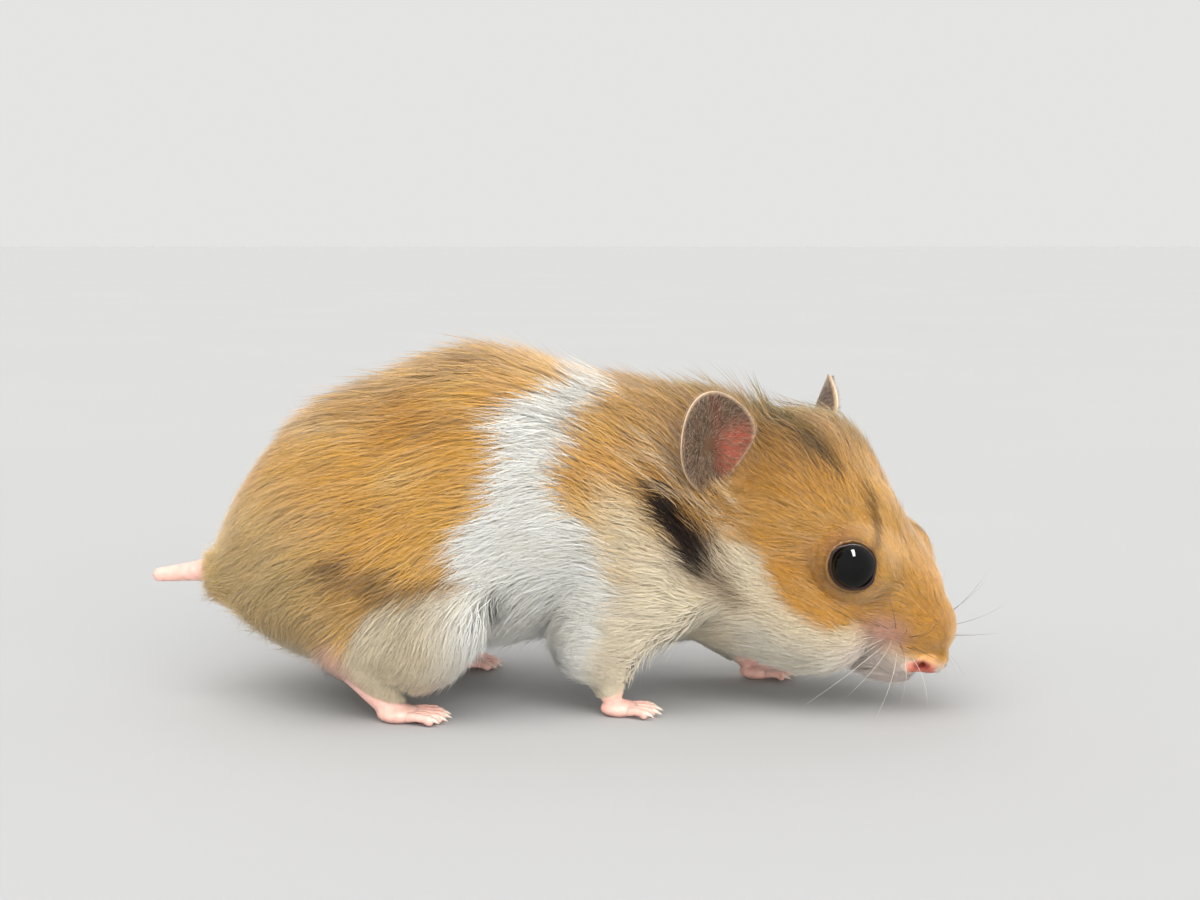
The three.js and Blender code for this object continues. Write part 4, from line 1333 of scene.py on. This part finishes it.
LOIN_STARTS, SHOULDER_STARTS = -24, -2  # how far forward along the trunk
FACE_STARTS = -17  # how far behind the snout
x = face_middle[:, 0]
on_head = q[:, 0] > HEAD_STARTS
STRETCHES = (  # name, which faces, which of them are on the right, slot
    ("rump", ~on_head & (x < LOIN_STARTS), face_middle[:, 1] < 0, "golden_fur"),
    ("loin", ~on_head & (x >= LOIN_STARTS) & (x < SHOULDER_STARTS), face_middle[:, 1] < 0, "white_fur"),
    ("shoulder", ~on_head & (x >= SHOULDER_STARTS), face_middle[:, 1] < 0, "white_fur"),
    ("cheek", on_head & (q[:, 0] < FACE_STARTS), q[:, 1] < 0, "golden_fur"),
    ("face", on_head & (q[:, 0] >= FACE_STARTS), q[:, 1] < 0, "golden_fur"),
)
MOST_TUFTS = 33000  # keeps a piece under 200,000 triangles
seed = 100
for stretch, chosen, right, slot in STRETCHES:
    for half, of_half in (("right", right), ("left", ~right)):
        draw = np.random.default_rng(seed)
        seed += 1
        weights = face_weight * (chosen & of_half)
        count = int(min(weights.sum(), MOST_TUFTS))
        roots = spread_roots(body_triangles, weights, count, draw)
        _, rise = slope(bare_body, roots)
        depth = np.maximum(coat_depth(roots), LEAST_COAT)
        tuft_piece(f"coat_{stretch}_{half}", roots, unit(rise), depth, draw, slot)

# %% [markdown]
# ## Down on the ears
# The ears look bare from far off, but fine pale and grey hairs run over both faces towards the rim.
# They use the leaf's own measure: each hair starts at a place of the leaf and runs outwards, a fifth
# of a millimetre clear of it.

# %% Fine hairs of each ear
DOWN_A_EAR = 5200
DOWN_RADIUS = 0.024
DOWN_STATIONS = ((0.0, -0.05), (WIDEST, 0.14), (1.0, 0.26))  # how far along, how clear of the leaf
IN_FRONT = 0.6  # the share of the hairs on the front of the leaf
MAP_MIDDLE = 40.0  # the height of the line the ears' map is wound round
for name, (base, tip, opens, front) in EARS.items():
    draw = np.random.default_rng(300 + front)
    t = draw.uniform(0, 2 * np.pi, DOWN_A_EAR)
    reach = np.sqrt(draw.uniform(0.01, 0.9, DOWN_A_EAR))
    face = np.where(draw.random(DOWN_A_EAR) < IN_FRONT, 1, -1)
    stretch = draw.uniform(0.08, 0.2, DOWN_A_EAR)
    swing = draw.normal(size=DOWN_A_EAR) * 0.1
    stations = []
    for share, clear in DOWN_STATIONS:
        place = ear_leaf(np.minimum(reach + share * stretch, 1.01), t + share * swing, front)
        place[:, 0] += face * (EAR_THICK / 2 + clear)
        stations.append(place)
    turn_to_head = ear_axes(base, tip, opens)
    up = (face[:, None] * turn_to_head[:, 0]) @ HEAD_AXES.T
    stations = from_head(np.stack(stations, 1) @ turn_to_head.T + np.array(base))
    down_radii = np.full(stations.shape[:2], DOWN_RADIUS)
    points, triangles = tubes(stations, down_radii, up[:, None], TUFT_AROUND, 0.8)
    tone = painted(plain(EAR_DOWN, DOWN_A_EAR), EAR_GREY * 0.5, draw.random(DOWN_A_EAR))
    tone = np.repeat(tone, TUFT_POINTS, 0)
    made = piece(f"ear_down_{name}", points, triangles, coat_finish, "ear_skin", tone)
    add_map(made, unwrapped(stations[:, 0], MAP_MIDDLE))

# %% [markdown]
# ## Claws and whiskers
# Claws are short curved spines of pale horn. Whiskers are the stiff long hairs beside the nose and
# over the eyes, dark at the root and paler to the tip, and each bends a little under its weight.

# %% Claws
CLAW_PLACES = np.array([-0.9, -0.7, -0.2, 0.3, 0.8, 1.2, 1.5])  # mm past the end of the toe
CLAW_GIRTH = [0, 0.3, 0.38, 0.34, 0.24, 0.12, 0]
CLAW_UP, CLAW_BEND, CLAW_LOWEST = 0.25, 0.2, 0.05
claw_paths = toe_end[:, None] + CLAW_PLACES[:, None] * unit(along)[:, None] + np.array([0, 0, CLAW_UP])
claw_paths[:, :, 2] -= CLAW_BEND * np.maximum(CLAW_PLACES, 0) ** 2
claw_points, claw_triangles = tubes(claw_paths, plain(CLAW_GIRTH, len(toe_end)), np.array(UP), 8)
claw_points[:, 2] = np.maximum(claw_points[:, 2], CLAW_LOWEST)
claw_triangles = outward(claw_points, claw_triangles)
claw_colour = plain(HORN, len(claw_points))
piece("claws", claw_points, claw_triangles, claw_finish, "bare_skin", claw_colour)

# %% Whiskers
WHISKERS_A_SIDE, WHISKERS_A_ROW, DARK_WHISKERS = 21, 7, 10
WHISKER_LENGTHS = (7, 14)
WHISKER_STATIONS = 12
WHISKER_THICK, WHISKER_THIN = 0.045, 0.01  # radii at the root and near the tip
draw = np.random.default_rng(7)
whisker_paths = []
for side in (-1, 1):
    row = np.arange(WHISKERS_A_SIDE) % WHISKERS_A_ROW
    column = np.arange(WHISKERS_A_SIDE) // WHISKERS_A_ROW
    root = np.stack([-2.6 - 0.9 * row, side * (4.9 + 0.3 * row), 1.9 - 1.3 * column], 1)
    root = root + draw.normal(size=root.shape) * 0.15
    way = [1.0 - 0.27 * row, side * (0.55 + 0.1 * row), 0.75 - 0.1 * row - 0.5 * column]
    way = np.stack(way, 1)
    way = unit(way + draw.normal(size=way.shape) * 0.14)
    long = draw.uniform(*WHISKER_LENGTHS, WHISKERS_A_SIDE)
    s = np.linspace(0, 1, WHISKER_STATIONS)[None, :, None]
    bend = np.stack([-2.5 + 0 * long, 0 * long, 1.5 - 2.0 * column], 1)[:, None]
    whisker_paths.append(from_head(root[:, None] + way[:, None] * long[:, None, None] * s + bend * s**2))
whisker_paths = np.concatenate(whisker_paths)
taper = np.concatenate([[0], np.linspace(WHISKER_THICK, WHISKER_THIN, WHISKER_STATIONS - 2), [0]])
whisker_radii = plain(taper, len(whisker_paths))
whisker_points, whisker_triangles = tubes(whisker_paths, whisker_radii, np.array([0.0, 0.3, 1]), 5)
whisker_triangles = outward(whisker_points, whisker_triangles)
per_whisker = len(whisker_points) // len(whisker_paths)
fade = np.tile(np.linspace(0, 1, per_whisker), len(whisker_paths))
pale = np.repeat(np.tile(np.arange(WHISKERS_A_SIDE) >= DARK_WHISKERS, 2), per_whisker)
whisker_colours = painted(plain(WHISKER_DARK, len(fade)), WHISKER_PALE, np.maximum(0.5 * fade, pale))
piece("whiskers", whisker_points, whisker_triangles, whisker_finish, "golden_fur", whisker_colours)

# %% [markdown]
# ## Floor, light and camera
# The model stands on a plain pale floor under broad soft lights, as on a table in a studio. One
# narrow light gives the wet eye its small bright mark.

# %% Floor
HALF_FLOOR = 20.0
FLOOR = {"Roughness": 0.9, "Specular IOR Level": 0.0}
floor_finish, add, feed = finish("pale floor", FLOOR)
feed("Base Color", cloudy(add, 6.0, 2.0, 0.42, 0.44))
mesh = bpy.data.meshes.new("floor")
corners = [(HALF_FLOOR * i, HALF_FLOOR * j, 0) for i, j in ((-1, -1), (1, -1), (1, 1), (-1, 1))]
mesh.from_pydata(corners, [], [(0, 1, 2, 3)])
mesh.materials.append(floor_finish)
floor = bpy.data.objects.new("floor", mesh)
bpy.context.scene.collection.objects.link(floor)

# %% Lights and world


def aimed(name, data, at, aim):
    """A light or camera at a place, facing a point."""
    made = bpy.data.objects.new(name, data)
    made.location = at
    made.rotation_euler = (Vector(aim) - Vector(at)).to_track_quat("-Z", "Y").to_euler()
    bpy.context.scene.collection.objects.link(made)
    return made


MIDDLE = (0.0, 0.0, 0.025)
for name, at, strength, spread in (
    ("overhead", (-0.3, -0.5, 1.4), 1.7, 60),
    ("from_the_front", (0.4, -1.0, 0.4), 2.5, 60),
    ("low_fill", (0.1, -1.0, 0.08), 1.3, 40),
    ("from_behind", (-0.4, 1.0, 0.8), 0.8, 60),
):
    data = bpy.data.lights.new(name, "SUN")
    data.energy = strength
    data.angle = np.radians(spread)
    aimed(name, data, at, MIDDLE).visible_glossy = False
data = bpy.data.lights.new("strip", "AREA")
data.shape = "RECTANGLE"
data.size, data.size_y = 0.06, 0.2
data.energy = 2.5
strip = aimed("strip", data, (0.05, -0.08, 0.32), (0.045, -0.017, 0.022))
strip.visible_diffuse = False  # it only gives the eyes their bright mark
world = bpy.data.worlds.new("studio")
world.use_nodes = True
sky = world.node_tree.nodes["Background"]
sky.inputs["Color"].default_value = (1.0, 1.0, 0.98, 1)
sky.inputs["Strength"].default_value = 0.78
bpy.context.scene.world = world
bpy.context.scene.view_settings.view_transform = "Standard"

# %% Camera
TARGET = Vector((0.0077, 0.0, 0.037))
DISTANCE = 0.300
RISE = np.radians(6.0)
camera_data = bpy.data.cameras.new("camera")
camera_data.lens = 60
camera_data.sensor_width = 36
camera_data.clip_start = 0.01
back = Vector((0, -np.cos(RISE), np.sin(RISE)))
bpy.context.scene.camera = aimed("camera", camera_data, TARGET + back * DISTANCE, TARGET)
